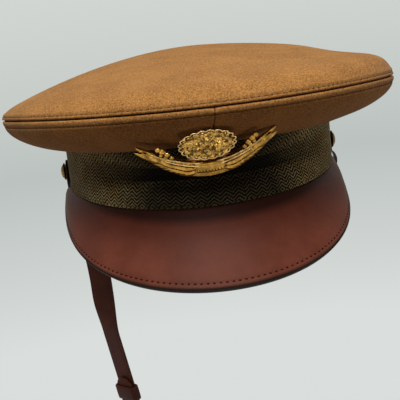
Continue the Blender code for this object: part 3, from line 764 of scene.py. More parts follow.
def make_crown_top(look, stitch_look):
    t = around(320)
    radii = np.concatenate([np.linspace(1.0, 0.955, 24), np.linspace(0.948, 0.86, 16),
                            np.linspace(0.84, 0.06, 28)])
    lip = rim_rows(t, (1.0015, 0.55), (1.003, 1.15), (1.0025, 1.8))
    grid = np.concatenate([lip, np.stack([top_point(t, r) for r in radii])])
    normal = grid_normals(grid, True, (0, 0, 0))
    distance = run_length(grid, 0)
    relief = crown_edge_relief(distance)
    relief += 0.35 * MM * ripple(t, 3, 5, 17) * hill(distance, 7 * MM, 6 * MM)
    relief += 0.8 * MM * ripple(t, 5, 1, 5) * smooth(distance / (40 * MM)) * smooth(
        (120 * MM - distance) / (60 * MM))
    surface = grid + normal * relief[..., None]
    turned_in = rim_rows(t, (0.9885, 0.75), (0.9965, 0.42))
    whole = np.concatenate([turned_in, surface])
    uv = cloth_uv(run_length(whole, 1)[2:3], distance)
    top = grid_object("crown_top_cloth", whole, ring=True, tip=whole[-1].mean(0) + (0, 0, 0.05 * MM),
                      outward_from=(0, 0, 0), uv=uv, thickness=CLOTH_THICK)
    dress(top, look, stands_for=["crown_top"])
    row = sew("crown_topstitch_upper", stitch_look, "crown_cloth",
              *inset_line(surface, normal, distance, TOP_STITCH_INSET), SEAM_STITCH_PITCH,
              STITCH_LENGTH, SEAM_THREAD, ring=True)
    declare_cloth(whole, ring=True)


def declare_cloth(grid, ring=False):
    """Repeats a ring grid's first column at its end; nothing is done with the result."""
    if ring:
        grid = np.concatenate([grid, grid[:, :1]], axis=1)


def inset_line(surface, normal, distance, inset):
    """The line on a surface that keeps a distance from its first row, with its normals."""
    columns = range(surface.shape[1])
    return [np.array([along_line(grid[:, k], distance[:, k], inset) for k in columns])
            for grid in (surface, normal)]


PANELS = (("side_panel_front_left", 0), ("side_panel_rear_left", 90),
          ("side_panel_rear_right", 180), ("side_panel_front_right", 270))


def panel_grid(t):
    """Rows from the rim down to the sewn edge on top of the band."""
    keys = [panel_flare(t, u) for u in np.linspace(1, 0.05, 15)]
    lean = dent(t, BAND_TOP + 0.0 * t)
    low = droop_height(t)
    on_band = PANEL_FOOT - 0.9 * MM

    def tucked(outset, z):
        return raised(band_oval(t) + band_normal(t) * (outset + lean)[..., None], z + 0 * t)

    keys += [tucked(1.8 * MM, low + 0.9 * MM), tucked(1.2 * MM, (on_band + low) / 2),
             tucked(1.1 * MM, on_band), tucked(0.5 * MM, PANEL_FOOT)]
    return np.concatenate([catmull(np.stack(keys), 66), tucked(-0.8 * MM, PANEL_FOOT)[None]])


def make_side_panels(look, stitch_look):
    margin = SEAM_GAP / 8 / BAND_HALF_WIDTH
    lines = []
    normals = []
    for name, start in PANELS:
        t0 = start * DEG + margin
        t1 = (start + 90) * DEG - margin
        ease = np.linspace(0, 1, 99)
        ease = ease - 0.075 * np.sin(TURN * ease)
        t = t0 + (t1 - t0) * ease
        lip = rim_rows(t, (1.0015, -0.5), (1.003, -1.1), (1.0025, -1.7))
        grid = np.concatenate([lip, panel_grid(t)])
        middle = rim_point(np.array((start + 45) * DEG), 0.5)
        normal = grid_normals(grid, False, middle)
        distance = run_length(grid, 0)
        along = run_length(grid, 1)
        edge = np.minimum(along, along[:, -1:] - along)
        groove = -0.45 * MM * hill(distance, PANEL_STITCH_INSET, 0.5 * MM)
        groove += 0.3 * MM * hill(distance, 1.9 * MM, 0.9 * MM)
        seam = -0.5 * MM * hill(edge, 0, 0.6 * MM)
        seam += 0.25 * MM * hill(edge, 1.9 * MM, 0.9 * MM)
        full = distance[-1:, :]
        share = distance / full
        waves = 0.5 * MM * ripple(t, start + 1, 7, 23) * hill(share, 0.66, 0.16)
        waves += 0.35 * MM * ripple(t, start + 2, 4, 11) * np.sin(math.pi * share) ** 2
        held = smooth(edge / (10 * MM))
        outer = smooth((full - distance - 3 * MM) / (6 * MM))
        relief = groove + (seam + waves * held) * outer
        surface = grid + normal * relief[..., None]
        notch = 1.3 * MM if "front" in name else 0.5 * MM
        front_edge = along if start == 0 else along[:, -1:] - along
        dip = notch * hill(front_edge, 0, 1.6 * MM) * hill(distance, 0, 1.8 * MM)
        surface = surface - dip[..., None] * (0, 0, 1)
        turned_in = rim_rows(t, (0.9885, -0.7), (0.9965, -0.4))
        whole = np.concatenate([turned_in, surface])
        uv = cloth_uv(along[:1], distance)
        panel = grid_object(name + "_cloth", whole, outward_from=middle, uv=uv,
                            thickness=PANEL_THICK)
        dress(panel, look, stands_for=[name])
        declare_cloth(whole)
        place, up = inset_line(surface, normal, distance, PANEL_STITCH_INSET)
        lines.append(place)
        normals.append(up)
    sew("crown_topstitch_lower", stitch_look, "crown_cloth", np.concatenate(lines),
        np.concatenate(normals), SEAM_STITCH_PITCH, STITCH_LENGTH, SEAM_THREAD, ring=True)


def make_seam_cord(look):
    """The piping cord in the crown seam, deep between the two turned edges."""
    t = around(420)
    centre = rim_point(t, WELT_SCALE)
    out = unit(rim_oval(t) - np.array((RIM_CENTRE_X, RIM_CENTRE_Y, 0)))
    up = np.array((0.0, 0.0, 1.0))
    angles = around(10)
    twist = t * 190
    rows = []
    for a in angles:
        swell = 1 + 0.06 * np.cos(2 * a - twist)
        rows.append(centre + (out * math.cos(a) + up * math.sin(a)) * (WELT_RADIUS * swell)[:, None])
    cord = grid_object("crown_seam_piping", np.stack(rows), ring=True, closed_rows=True)
    dress(cord, look, stands_for=["crown_seam_welt"])


def make_lining(look, film_look):
    """Side lining gathered to the band, and the tip lining with its clear sweat shield."""
    t = around(288)
    foot = band_oval(t) + band_normal(t) * (dent(t, BAND_TOP + 0 * t) - 3.6 * MM)[..., None]
    rows = []
    for u in np.linspace(0, 0.86, 22):
        angle = u * math.pi / 2
        place = foot * math.cos(angle) + rim_oval(t, LINING_SCALE) * (1 - math.cos(angle))
        z = LINING_FOOT + (rim_height(t) - 1 * MM - LINING_FOOT) * math.sin(angle)
        gather = 0.5 * MM * np.sin(96 * t) * math.sin(math.pi * min(1, u + 0.1)) ** 2
        inwards = -unit(place * (1, 1, 0))
        rows.append(raised(place, z) + inwards * (np.abs(gather) + gather)[:, None] * 0.6)
    rows.append(top_point(t, 0.95, LINING_DROP, LINING_SCALE))
    side = grid_object("crown_side_lining_satin", np.stack(rows), ring=True,
                       outward_from=(0, 0, 50 * MM), thickness=LINING_THICK)
    dress(side, look, stands_for=["crown_lining_side"])
    radii = np.concatenate([np.linspace(0.915, 0.7, 10), np.linspace(0.66, 0.06, 16)])
    rows = [top_point(t, r, LINING_DROP, LINING_SCALE) for r in radii]
    tip = grid_object("crown_tip_lining_satin", np.stack(rows), ring=True,
                      tip=top_point(np.array(0.0), 0.0, LINING_DROP),
                      outward_from=(0, 0, 0), thickness=LINING_THICK)
    dress(tip, look, stands_for=["crown_lining_tip"])
    declare_cloth(np.stack(rows), ring=True)
    under = LINING_DROP + 1.5 * MM
    rows = [top_point(t, r, under, LINING_SCALE) for r in np.linspace(0.38, 0.04, 14)]
    shield = grid_object("sweat_shield_film", np.stack(rows), ring=True,
                         tip=top_point(np.array(0.0), 0.0, under),
                         outward_from=(0, 0, 0), thickness=0.5 * MM)
    dress(shield, film_look, stands_for=["sweat_shield"])


# ---- band ---------------------------------------------------------------------------------------
def closed_band(name, t, low, high, outset, thick, rows, relief=None):
    """A closed ring: a fine outer face and a plain inner one."""
    heights = np.linspace(low, high, rows)
    outer = []
    for z in heights:
        extra = relief(t, z) if relief else 0.0
        outer.append(band_point(t, z + 0 * t, outset + extra))
    inner = [band_point(t, z + 0 * t, outset - thick) for z in heights[::-4]]
    grid = np.stack(outer + inner)
    level = np.concatenate([heights, heights[::-4]]) - low
    arc = run_length(band_point(t, (low + high) / 2 + 0 * t)[None], 1)
    uv = np.stack(np.broadcast_arrays(arc, level[:, None]), axis=-1)
    return grid_object(name, grid, ring=True, closed_rows=True, uv=uv)


def make_band(braid_material, leather_material, stitch_material, ribbon_material):
    t = around(560) + math.pi
    arc = run_length(band_point(t, (BAND_BOTTOM + BAND_TOP) / 2 + 0 * t)[:, None], 0)[:, 0]

    def weave(_, z):
        zigzag = (1 - np.abs((arc / BRAID_COLUMN) % 2 - 1)) * BRAID_COLUMN
        slant = z - BAND_BOTTOM + BRAID_SLANT * zigzag
        edge = smooth(min(z - BAND_BOTTOM, BAND_TOP - z) / (1.2 * MM))
        return edge * 0.12 * MM * np.sin(slant * TURN / BRAID_RIB)

    braid = closed_band("braid_band_woven", t, BAND_BOTTOM, BAND_TOP, 0.0, BRAID_THICK, 62, weave)
    dress(braid, braid_material, stands_for=["braid_band"])
    make_selvedge(braid_material)
    low, high = node_box("sweatband")
    t = around(288)

    def roll(at, z):
        return 0.12 * MM * ripple(at, 9, 9, 30) - 0.5 * MM * hill(z, low[2], 1.5 * MM)

    sweat = closed_band("sweatband_leather", t, low[2], high[2], -SWEAT_INSET, SWEAT_THICK, 26,
                        roll)
    dress(sweat, leather_material, stands_for=["sweatband"])
    line = band_point(t, low[2] + 4 * MM + 0 * t, -SWEAT_INSET - SWEAT_THICK - 0.02 * MM)
    sew("sweatband_stitches", stitch_material, "sweat_leather", line, -band_normal(t), 3.0 * MM,
        STITCH_LENGTH, 0.2 * MM, ring=True)
    make_bow(ribbon_material)


def make_selvedge(look):
    """The braid's plain woven edge, a narrow cord along the bottom of the band."""
    t = around(480)
    angles = around(10)
    rows = []
    for a in angles:
        swell = 1 + 0.1 * np.sin(330 * t + a)
        rows.append(band_point(t, BAND_BOTTOM + 0.35 * MM + 0.85 * MM * math.sin(a) + 0 * t,
                               0.05 * MM + 0.36 * MM * math.cos(a) * swell))
    cord = grid_object("braid_selvedge", np.stack(rows), ring=True, closed_rows=True)
    dress(cord, look)


def make_bow(look):
    """The small ribbon bow inside the sweatband, at the back of the head."""
    centre = band_point(np.array(math.pi), np.array(9 * MM), -SWEAT_INSET - SWEAT_THICK - 0.5 * MM)
    width = 2.6 * MM
    for side in (-1, 1):
        keys = np.array([(0, 0, 0), (5, -1.3, 2.6), (10, -1.0, 2.8), (11.5, -0.6, 0.2),
                         (9, -0.4, -1.8), (4.5, -0.6, -1.4), (0, -0.3, 0)]) * MM * (side, 1, 1)
        path = catmull(keys, 40)
        half = np.array((0, 0, width / 2))
        edge = np.stack([centre + path + half * k for k in (-1, -0.33, 0.33, 1)], axis=1)
        loop = grid_object(f"bow_loop_{'left' if side > 0 else 'right'}", edge, thickness=0.25 * MM,
                           offset=0.0)
        dress(loop, look)
    profile = [(0.02 * MM, 1.9 * MM), (1.2 * MM, 1.5 * MM), (1.5 * MM, 0), (1.2 * MM, -1.5 * MM),
               (0.02 * MM, -1.9 * MM)]
    knot = turned(profile, centre + (0, -0.9 * MM, 0), (0, 0, 1), 16)
    dress(grid_object("bow_knot", knot, ring=True, capped=True), look)


# ---- visor --------------------------------------------------------------------------------------
def visor_point(u, v):
    """u runs from one end to the other, v from the band, 0, to the outer edge, 1."""
    root = raised(band_oval(u) + band_normal(u) * 0.6 * MM, 0.4 * MM + 0 * u)
    reach = VISOR_REACH * np.cos(u) ** VISOR_POWER
    ahead = reach * math.cos(VISOR_PITCH)
    wide = VISOR_HALF_WIDTH * np.sin(u) + VISOR_SWELL * np.sin(2 * u)
    edge = points(VISOR_SHIFT + VISOR_SKEW * ahead + wide, VISOR_BACK_Y - ahead,
                  -reach * math.sin(VISOR_PITCH))
    up = unit(band_normal(u) + np.array((0, 0, 1.0)))
    return root * (1 - v) + edge * v + up * VISOR_BULGE * math.sin(math.pi * v)


def visor_angles(columns):
    """Angles across the visor, closer together towards its ends."""
    even = np.linspace(-1, 1, columns)
    return VISOR_END * (0.65 * even + 0.35 * np.sin(even * 83 * DEG) / math.sin(83 * DEG))


def make_visor(top_look, board_look, under_look, edge_look, stitch_look):
    shares = np.concatenate([np.linspace(0, 0.9, 40), np.linspace(0.915, 1, 16)])
    columns = visor_angles(181)
    grid = np.stack([visor_point(columns, v) for v in shares])
    below = (0, -20 * MM, -80 * MM)
    normal = grid_normals(grid, False, below)
    from_edge = run_length(grid[::-1], 0)[::-1]
    from_band = run_length(grid, 0)
    along = run_length(grid, 1)
    rounded = -0.45 * MM * hill(from_edge, 0, 0.8 * MM)
    furrow = -0.22 * MM * hill(from_edge, VISOR_STITCH_INSET, 0.7 * MM)
    settle = 0.35 * MM * np.sin(along / (23 * MM)) * smooth(from_edge / (20 * MM)) * smooth(
        from_band / (15 * MM))
    top = grid + normal * (rounded + furrow + settle)[..., None]
    # the top skin runs in under the lower edge of the band
    flange = [top[0] - band_normal(columns) * inset - (0, 0, drop)
              for inset, drop in ((3.6 * MM, -0.1 * MM), (2.0 * MM, 0), (0.8 * MM, 0))]
    top = np.concatenate([np.stack(flange), top])
    from_edge = np.concatenate([from_edge[:1].repeat(3, 0), from_edge])
    normal = np.concatenate([normal[:1].repeat(3, 0), normal])
    uv = np.stack([along[-1:].repeat(len(top), 0), from_edge], axis=-1)
    name, thick = VISOR_PLIES[0]
    leather_top = grid_object("visor_top_skin", top, outward_from=below, uv=uv, thickness=thick)
    dress(leather_top, top_look, stands_for=[name])
    depth = thick + VISOR_PLY_GAP
    for (name, thick), piece_name, look, slot in (
            (VISOR_PLIES[1], "visor_board_ply", board_look, "board"),
            (VISOR_PLIES[2], "visor_under_skin", under_look, "visor_under")):
        layer = grid[::2, ::2] - normal[3::2, ::2] * depth
        ply = grid_object(piece_name, layer, outward_from=below, uv=uv[3::2, ::2], thickness=thick)
        dress(ply, look, stands_for=[name])
        depth += thick + VISOR_PLY_GAP
    make_visor_edge(grid, normal[3:], depth - VISOR_PLY_GAP, edge_look)
    inner = slice(6, -6)
    line, up = inset_line(top[::-1, inner], normal[::-1, inner], from_edge[::-1, inner],
                          VISOR_STITCH_INSET)
    sew("visor_edge_stitches", stitch_look, "visor_leather", line, up, VISOR_STITCH_PITCH,
        STITCH_LENGTH, 0.50 * MM, sink=0.22 * MM)
    under_line = line - up * (depth - VISOR_PLY_GAP + 0.02 * MM)
    sew("visor_under_stitches", stitch_look, "visor_under", under_line, -up, VISOR_STITCH_PITCH,
        2.0 * MM, 0.24 * MM)


def make_visor_edge(grid, normal, depth, look):
    """Burnished edge: a hard black skin round the outer edge of the three plies."""
    rim = grid[-1]
    up = normal[-1]
    along = unit(np.gradient(rim, axis=0))
    out = unit(np.cross(along, up))
    if (out * rim).sum() < 0:
        out = -out
    half = depth / 2
    middle = rim - up * half
    rows = []
    for k in range(12):
        angle = math.pi * (k / 11 - 0.5)
        rows.append(middle + up * (math.sin(angle) * (half + 0.03 * MM))
                    + out * (math.cos(angle) * 0.55 * MM + 0.02 * MM))
    for lift in (1, 0.4, -0.4, -1):
        rows.append(middle + up * (half - 0.45 * MM) * lift - out * 0.25 * MM)
    edge = grid_object("visor_burnished_edge", np.stack(rows), closed_rows=True, capped=True)
    dress(edge, look)


# ---- side buttons -------------------------------------------------------------------------------
def make_buttons(look):
    """Domed gilt buttons with a rolled rim; the shank and its clip stay as in the frame."""
    face = DOME_FACE
    r = BUTTON_RADIUS
    crown = [(r * 0.80 * math.sin(a), face + 3.1 * MM - 1.9 * MM * (1 - math.cos(a)))
             for a in np.linspace(0.01, math.pi / 2, 12)]
    step = [(r * 0.84, face + 1.05 * MM), (r * 0.88, face + 0.95 * MM)]
    roll = [(r * 0.93 + r * 0.07 * math.sin(a), face + 0.8 * MM + 0.4 * MM * math.cos(a))
            for a in np.linspace(-0.9, 2.6, 9)]
    back = [(r * 0.90, face + 0.2 * MM), (r * 0.5, face + 0.05 * MM), (1.8 * MM, face)]
    groove_out = BAND_HALF_WIDTH - 3.35 * MM
    groove_in = groove_out - 1.35 * MM
    end = groove_out - 1.75 * MM
    shank = [(1.8 * MM, groove_out), (1.1 * MM, groove_out), (1.1 * MM, groove_in),
             (1.7 * MM, groove_in), (1.7 * MM, end), (0.05 * MM, end)]
    for side, sign in (("left", 1), ("right", -1)):
        grid = turned(crown + step + roll + back + shank, (0, BUTTON_Y, BUTTON_Z), (sign, 0, 0))
        button = grid_object(side + "_button_domed", grid, ring=True, capped=True)
        dress(button, look, body=side + "_button", stands_for=[side + "_button"])


# ---- chin strap ---------------------------------------------------------------------------------
STRAP_DOWN = np.array((math.sin(STRAP_LEAN), 0, -math.cos(STRAP_LEAN)))


def twist_face(twist, along):
    """The way a strap's face looks: outwards at 0, forwards at a quarter turn."""
    face = points(-np.cos(twist), -np.sin(twist), 0.0 * twist)
    return unit(face - along * (face * along).sum(-1, keepdims=True))


def strap_twist(z):
    """The strap's face turns forwards below the button, and partly back below TWIST_BACK_Z."""
    upper = STRAP_TWIST_MID * smooth((TWIST_Z - z) / (54 * MM))
    back = smooth((TWIST_BACK_Z - z) / (30 * MM))
    lower = STRAP_TWIST_MID + (STRAP_TWIST_LOW - STRAP_TWIST_MID) * back
    return np.where(z > TWIST_BACK_Z, upper, lower)


def knee_point(length):
    """A point on the hanging part, length below the knee."""
    return np.array((STRAP_KNEE[0], BUTTON_Y, STRAP_KNEE[1])) + STRAP_DOWN * length


def round_ended(run, radius, blunt):
    """Half width along a strip with round ends, which are blunt times as wide at their tips."""
    to_end = np.minimum(run, run[-1] - run)
    return np.sqrt(np.maximum(radius ** 2 - np.maximum(radius - to_end, 0) ** 2,
                              (blunt * radius) ** 2))


def strap_steps(length):
    """Distances along a strap, closer together at its round ends."""
    fine = 8 * MM
    return np.concatenate([np.linspace(0, fine, 12), np.arange(9.5 * MM, length - fine, 1.5 * MM),
                           np.linspace(length - 7.5 * MM, length, 12)])


def strip(name, centre, aside, face, front, back):
    """A flat closed strip: front and back are the distances of its two faces from its middle."""
    middle = centre[:, None] + aside
    outer = middle + face[:, None] * front[..., None]
    inner = middle - face[:, None] * back[..., None]
    grid = np.concatenate([outer, inner[:, ::-1]], axis=1)
    return grid_object(name, grid, ring=True, capped=True)


def strap_piece(name, centre, twist, look, body, stands_for):
    """A flat strap with round ends, a pressed line along each edge and a slight crown."""
    run = run_length(centre[:, None], 0)[:, 0]
    along = unit(np.gradient(centre, axis=0))
    face = twist_face(twist, along)
    across = np.cross(along, face)
    half = round_ended(run, STRAP_WIDTH / 2, 0.18)
    shares = np.sin(np.linspace(-1, 1, 25) * math.pi / 2)
    offset = shares[None, :] * half[:, None]
    edge = half[:, None] - np.abs(offset)
    wave = 0.12 * MM * ripple(run / run[-1] * 5, 21, 1, 5)[:, None]
    crown = -0.18 * MM * (shares ** 8)[None, :] + wave
    crease = -0.22 * MM * hill(edge, 1.7 * MM, 0.35 * MM)
    half_thick = STRAP_THICK / 2
    back = half_thick - 0.1 * MM * (shares ** 8)[None, :] - wave
    strap = strip(name, centre, across[:, None] * offset[..., None], face,
                  half_thick + crown + crease, back)
    return dress(strap, look, body=body, stands_for=stands_for)


def punch(piece, centre, direction, depth):
    """Cuts a strap's round hole through a piece and lets the cutter go."""
    bm = bmesh.new()
    bmesh.ops.create_cone(bm, cap_ends=True, segments=28, radius1=HOLE_RADIUS,
                          radius2=HOLE_RADIUS, depth=depth)
    tool = object_of("punch", bm)
    tool.location = centre
    tool.rotation_euler = Vector(direction).to_track_quat("Z", "Y").to_euler()
    hole = piece.modifiers.new("hole", "BOOLEAN")
    hole.operation = "DIFFERENCE"
    hole.solver = "EXACT"
    hole.object = tool
    bpy.context.view_layer.update()
    graph = bpy.context.evaluated_depsgraph_get()
    cut = bpy.data.meshes.new_from_object(piece.evaluated_get(graph))
    piece.modifiers.remove(hole)
    piece.data = cut
    bpy.data.objects.remove(tool)


def strap_route():
    """The strap's centre line from its top end down to the knee, where it hangs straight."""
    knee_x, knee_z = STRAP_KNEE
    keys = np.array([(STRAP_TOP_X, BUTTON_Z + 7.5 * MM), (STRAP_TOP_X, -4 * MM),
                     (-85.0 * MM, -26 * MM), (-80.2 * MM, -48 * MM), (-78.6 * MM, -68 * MM),
                     (-78.3 * MM, -91 * MM), (knee_x, knee_z)])
    before = np.array([(STRAP_TOP_X, BUTTON_Z + 16 * MM)])
    after = np.array([(knee_x + 30 * MM * STRAP_DOWN[0], knee_z + 30 * MM * STRAP_DOWN[2])])
    per_key = 20
    steps = per_key * (len(keys) + 1) + 1
    whole = catmull(np.concatenate([before, keys, after]), steps)[per_key:-per_key]
    return points(whole[:, 0], BUTTON_Y + 0 * whole[:, 0], whole[:, 1])


def make_strap(look, stitch_look):
    route = strap_route()
    straight = np.stack([knee_point(s) for s in np.linspace(1.5 * MM, STRAP_UPPER_END, 50)])
    centre = np.concatenate([route, straight])
    run = run_length(centre[:, None], 0)[:, 0]
    centre = along_line(centre, run, strap_steps(run[-1]))
    upper = strap_piece("strap_upper_leather", centre, strap_twist(centre[:, 2]), look,
                        "strap_top_half", ["strap_upper"])
    punch(upper, (-DOME_FACE, BUTTON_Y, BUTTON_Z), (1, 0, 0), 12 * MM)

    face = twist_face(np.array(STRAP_TWIST_LOW), STRAP_DOWN)
    lift = face * (STRAP_THICK + PLY_GAP)
    even = strap_steps(STRAP_LOWER_END - STRAP_LOWER_START)
    centre = np.stack([knee_point(STRAP_LOWER_START + s) + lift for s in even])
    lower = strap_piece("strap_lower_leather", centre, STRAP_TWIST_LOW + 0 * even, look,
                        "strap_bottom_half", ["strap_lower"])
    punch(lower, knee_point(STRAP_LOWER_END - 9 * MM) + lift, face, 10 * MM)
    for name, at, body in KEEPERS:
        make_keeper(name, at, body, face, lift, look, stitch_look)


def make_keeper(name, at, body, face, lift, look, stitch_look):
    """A sewn leather loop round both strap plies."""
    centre = knee_point(at) + lift / 2
    across = np.cross(STRAP_DOWN, face)
    half_wide = STRAP_WIDTH / 2 + 0.5 * MM
    half_deep = STRAP_THICK + PLY_GAP / 2 + 0.4 * MM
    corner = 1.0 * MM
    outline = []
    for quarter, (sx, sy) in enumerate(((1, 1), (-1, 1), (-1, -1), (1, -1))):
        for k in range(7):
            a = (quarter * 90 + 15 * k) * DEG
            outline.append((sx * (half_wide - corner), sy * (half_deep - corner),
                            math.cos(a), math.sin(a)))
    half = KEEPER_LENGTH / 2
    section = [(half, 0), (half, 0.7), (half - 0.5 * MM, 1), (half * 0.5, 1.06), (0, 1.08),
               (-half * 0.5, 1.06), (-half + 0.5 * MM, 1), (-half, 0.7), (-half, 0),
               (-half * 0.4, 0), (half * 0.4, 0)]
    rows = []
    for shift, share in section:
        reach = corner + KEEPER_THICK * share
        rows.append([centre + STRAP_DOWN * shift + across * (x + reach * cx) + face * (y + reach * cy)
                     for x, y, cx, cy in outline])
    loop = grid_object(name + "_leather", np.array(rows), ring=True, closed_rows=True)
    dress(loop, look, body=body, stands_for=[name])
    back = centre - face * (half_deep + KEEPER_THICK * 1.06)
    line = np.stack([back + STRAP_DOWN * s for s in np.linspace(-half + 1.2 * MM, half - 1.2 * MM, 8)])
    sew(name + "_stitches", stitch_look, "strap_leather", line, np.repeat(-face[None], 8, 0),
        2.6 * MM, STITCH_LENGTH, 0.22 * MM, body=body)


def make_tab(look):
    """The short loop on the +X button."""
    keys = np.array([(88.45, 14.0), (88.45, 10.5), (88.45, 5.0), (88.45, 0.0), (88.4, -4.0),
                     (88.5, -7.5), (89.5, -10.4), (91.4, -10.6), (92.7, -8.0), (92.9, -4.0),
                     (91.6, -0.6), (90.0, 1.4), (89.85, 5.5), (89.85, 10.5), (89.85, 14.0)]) * MM
    path = catmull(keys, 90)
    centre = points(path[:, 0], BUTTON_Y + 0 * path[:, 0], path[:, 1])
    half = round_ended(run_length(centre[:, None], 0)[:, 0], TAB_HALF_WIDTH, 0.4)
    along = unit(np.gradient(centre, axis=0))
    across = np.array((0.0, 1.0, 0.0))
    face = unit(np.cross(across, along))
    shares = np.sin(np.linspace(-1, 1, 15) * math.pi / 2)
    offset = shares[None] * half[:, None]
    crease = 0.12 * MM * hill(half[:, None] - np.abs(offset), 1.3 * MM, 0.3 * MM)
    thick = 0.45 * MM * (1 - 0.3 * shares ** 8)[None] - crease
    tab = strip("left_strap_tab_leather", centre, across * offset[..., None], face, thick, thick)
    dress(tab, look, body="strap_tab", stands_for=["left_strap_tab"])
    punch(tab, (89.2 * MM, BUTTON_Y, BUTTON_Z), (1, 0, 0), 14 * MM)


# ---- badge --------------------------------------------------------------------------------------
BADGE_DOWN = np.array((0, math.sin(BADGE_TILT), -math.cos(BADGE_TILT)))
BADGE_FACE = np.array((0, -math.cos(BADGE_TILT), -math.sin(BADGE_TILT)))
BADGE_CENTRE = BADGE_TOP + BADGE_DOWN * BADGE_HEIGHT / 2
BADGE_BEHIND = BADGE_CENTRE - BADGE_FACE * 20 * MM


def badge_point(x, y, out):
    """Badge coordinates: x across, y up, out from its face; the whole badge is bent."""
    x, y, out = np.broadcast_arrays(x, y, out)
    back = x * x / (2 * BADGE_BEND)
    level = x * math.cos(BADGE_ROLL) - y * math.sin(BADGE_ROLL)
    rise = x * math.sin(BADGE_ROLL) + y * math.cos(BADGE_ROLL)
    side = np.array((1.0, 0, 0))
    return (BADGE_CENTRE + level[..., None] * side - rise[..., None] * BADGE_DOWN
            + (out - back)[..., None] * BADGE_FACE)


def spray_edges(s):
    """Lower and upper outline of a spray, at share s of the half width."""
    low = WREATH_FOOT + WREATH_RISE * s ** 2.1
    return low, low + 9.5 * MM * (1 - s ** 2.6) + 0.7 * MM


def leaf_grid(base, angle, length, width, lift, tilt):
    """A pointed leaf with a raised midrib; base and angle are in the badge's plane."""
    along = np.linspace(0, 1, 13)[:, None]
    side = np.linspace(-1, 1, 9)[None, :]
    half = width / 2 * np.sin(math.pi * along ** 0.8) ** 0.8 + 0.05 * MM
    dx = along * length
    dy = side * half
    rib = 0.32 * MM * hill(side, 0, 0.16) * (1 - along * 0.6)
    cup = 0.35 * MM * (1 - side ** 2) + tilt * along * (1 - along) * 4
    veins = 0.07 * MM * np.cos(np.abs(side) * 5 - along * 30)
    out = lift + rib + cup * np.sin(math.pi * np.clip(along, 0.03, 0.97)) + veins
    x = base[0] + dx * math.cos(angle) - dy * math.sin(angle)
    y = base[1] + dx * math.sin(angle) + dy * math.cos(angle)
    return badge_point(x, y, out)


def join(name, pieces):
    """Makes one mesh of several."""
    bm = bmesh.new()
    graph = bpy.context.evaluated_depsgraph_get()
    bpy.context.view_layer.update()
    for piece in pieces:
        mesh = bpy.data.meshes.new_from_object(piece.evaluated_get(graph))
        bm.from_mesh(mesh)
        bpy.data.meshes.remove(mesh)
        bpy.data.objects.remove(piece)
    made = object_of(name, bm)
    made.data.shade_smooth()
    return made


def make_spray(side, look, highlight_look):
    """One laurel spray: overlapping leaves from the badge's foot out to a long plain tip."""
    label = "left" if side > 0 else "right"
    dice = random.Random(11 if side > 0 else 12)
    leaves = []

    def place(s, across):
        low, high = spray_edges(s)
        return BADGE_HALF_WIDTH * s * side, low + (high - low) * across

    def heading(s, across):
        x0, y0 = place(s - 0.01, across)
        x1, y1 = place(s + 0.01, across)
        return math.atan2(y1 - y0, x1 - x0)

    def add(s, across, lean, length, width, lift):
        angle = heading(s, across) + lean * side
        grid = leaf_grid(place(s, across), angle, length, width, lift, 0.25 * MM)
        leaves.append(grid_object("leaf", grid, outward_from=BADGE_BEHIND,
                                  thickness=0.45 * MM))

    for k in range(LEAF_ROWS):
        s = 0.20 + 0.56 * k / (LEAF_ROWS - 1)
        taper = 1 - 0.35 * k / LEAF_ROWS
        wobble = dice.uniform(-0.04, 0.04)
        add(s, 0.30, -0.30 + wobble, 8.6 * MM * taper, 3.4 * MM * taper, 0.25 * MM)
        add(s, 0.74, 0.20 + wobble, 8.2 * MM * taper, 3.0 * MM * taper, 0.55 * MM)
        add(s + 0.02, 0.52, -0.04 + wobble, 9.4 * MM * taper, 3.0 * MM * taper, 1.0 * MM)
    add(0.56, 0.55, -0.02, 18.6 * MM, 3.4 * MM, 0.95 * MM)
    dress(join(f"badge_spray_{label}", leaves), look)
    ribs = []
    for across, lift in ((0.97, 1.1), (0.80, 1.45)):
        s = np.linspace(0.10, 0.80 if lift < 1.2 else 0.62, 50)
        low, high = spray_edges(s)
        x = BADGE_HALF_WIDTH * s * side
        y = low + (high - low) * across
        ribs.append(wire("rib", badge_point(x, y, lift * MM + 0 * x), 0.5 * MM * (1.05 - s ** 3)))
    # The stems get the brighter gilt: painted highlight on the raised ribs.
    dress(join(f"badge_stems_{label}", ribs), highlight_look)
    berries = []
    for s, across, size in ((0.52, 1.22, 1.3), (0.575, 1.42, 1.6), (0.635, 1.62, 1.8),
                            (0.69, 1.75, 1.6), (0.60, 1.15, 1.2), (0.66, 1.25, 1.1)):
        x, y = place(s, across)
        berries.append(bead(badge_point(x, y, 1.1 * MM), size * MM))
    dress(join(f"badge_berries_{label}", berries), look)


def wire(name, path, radius, sides=8):
    """A round wire along a path; radius may change along it."""
    along = unit(np.gradient(path, axis=0))
    side = unit(np.cross(along, BADGE_FACE))
    up = np.cross(side, along)
    radius = np.broadcast_to(radius, len(path))[:, None]
    angles = around(sides)
    grid = np.stack([path + (side * math.cos(a) + up * math.sin(a)) * radius for a in angles], axis=1)
    return grid_object(name, grid, ring=True, capped=True)


def bead(centre, radius):
    bm = bmesh.new()
    bmesh.ops.create_uvsphere(bm, u_segments=12, v_segments=8, radius=radius)
    bmesh.ops.translate(bm, verts=bm.verts, vec=centre)
    return object_of("bead", bm)


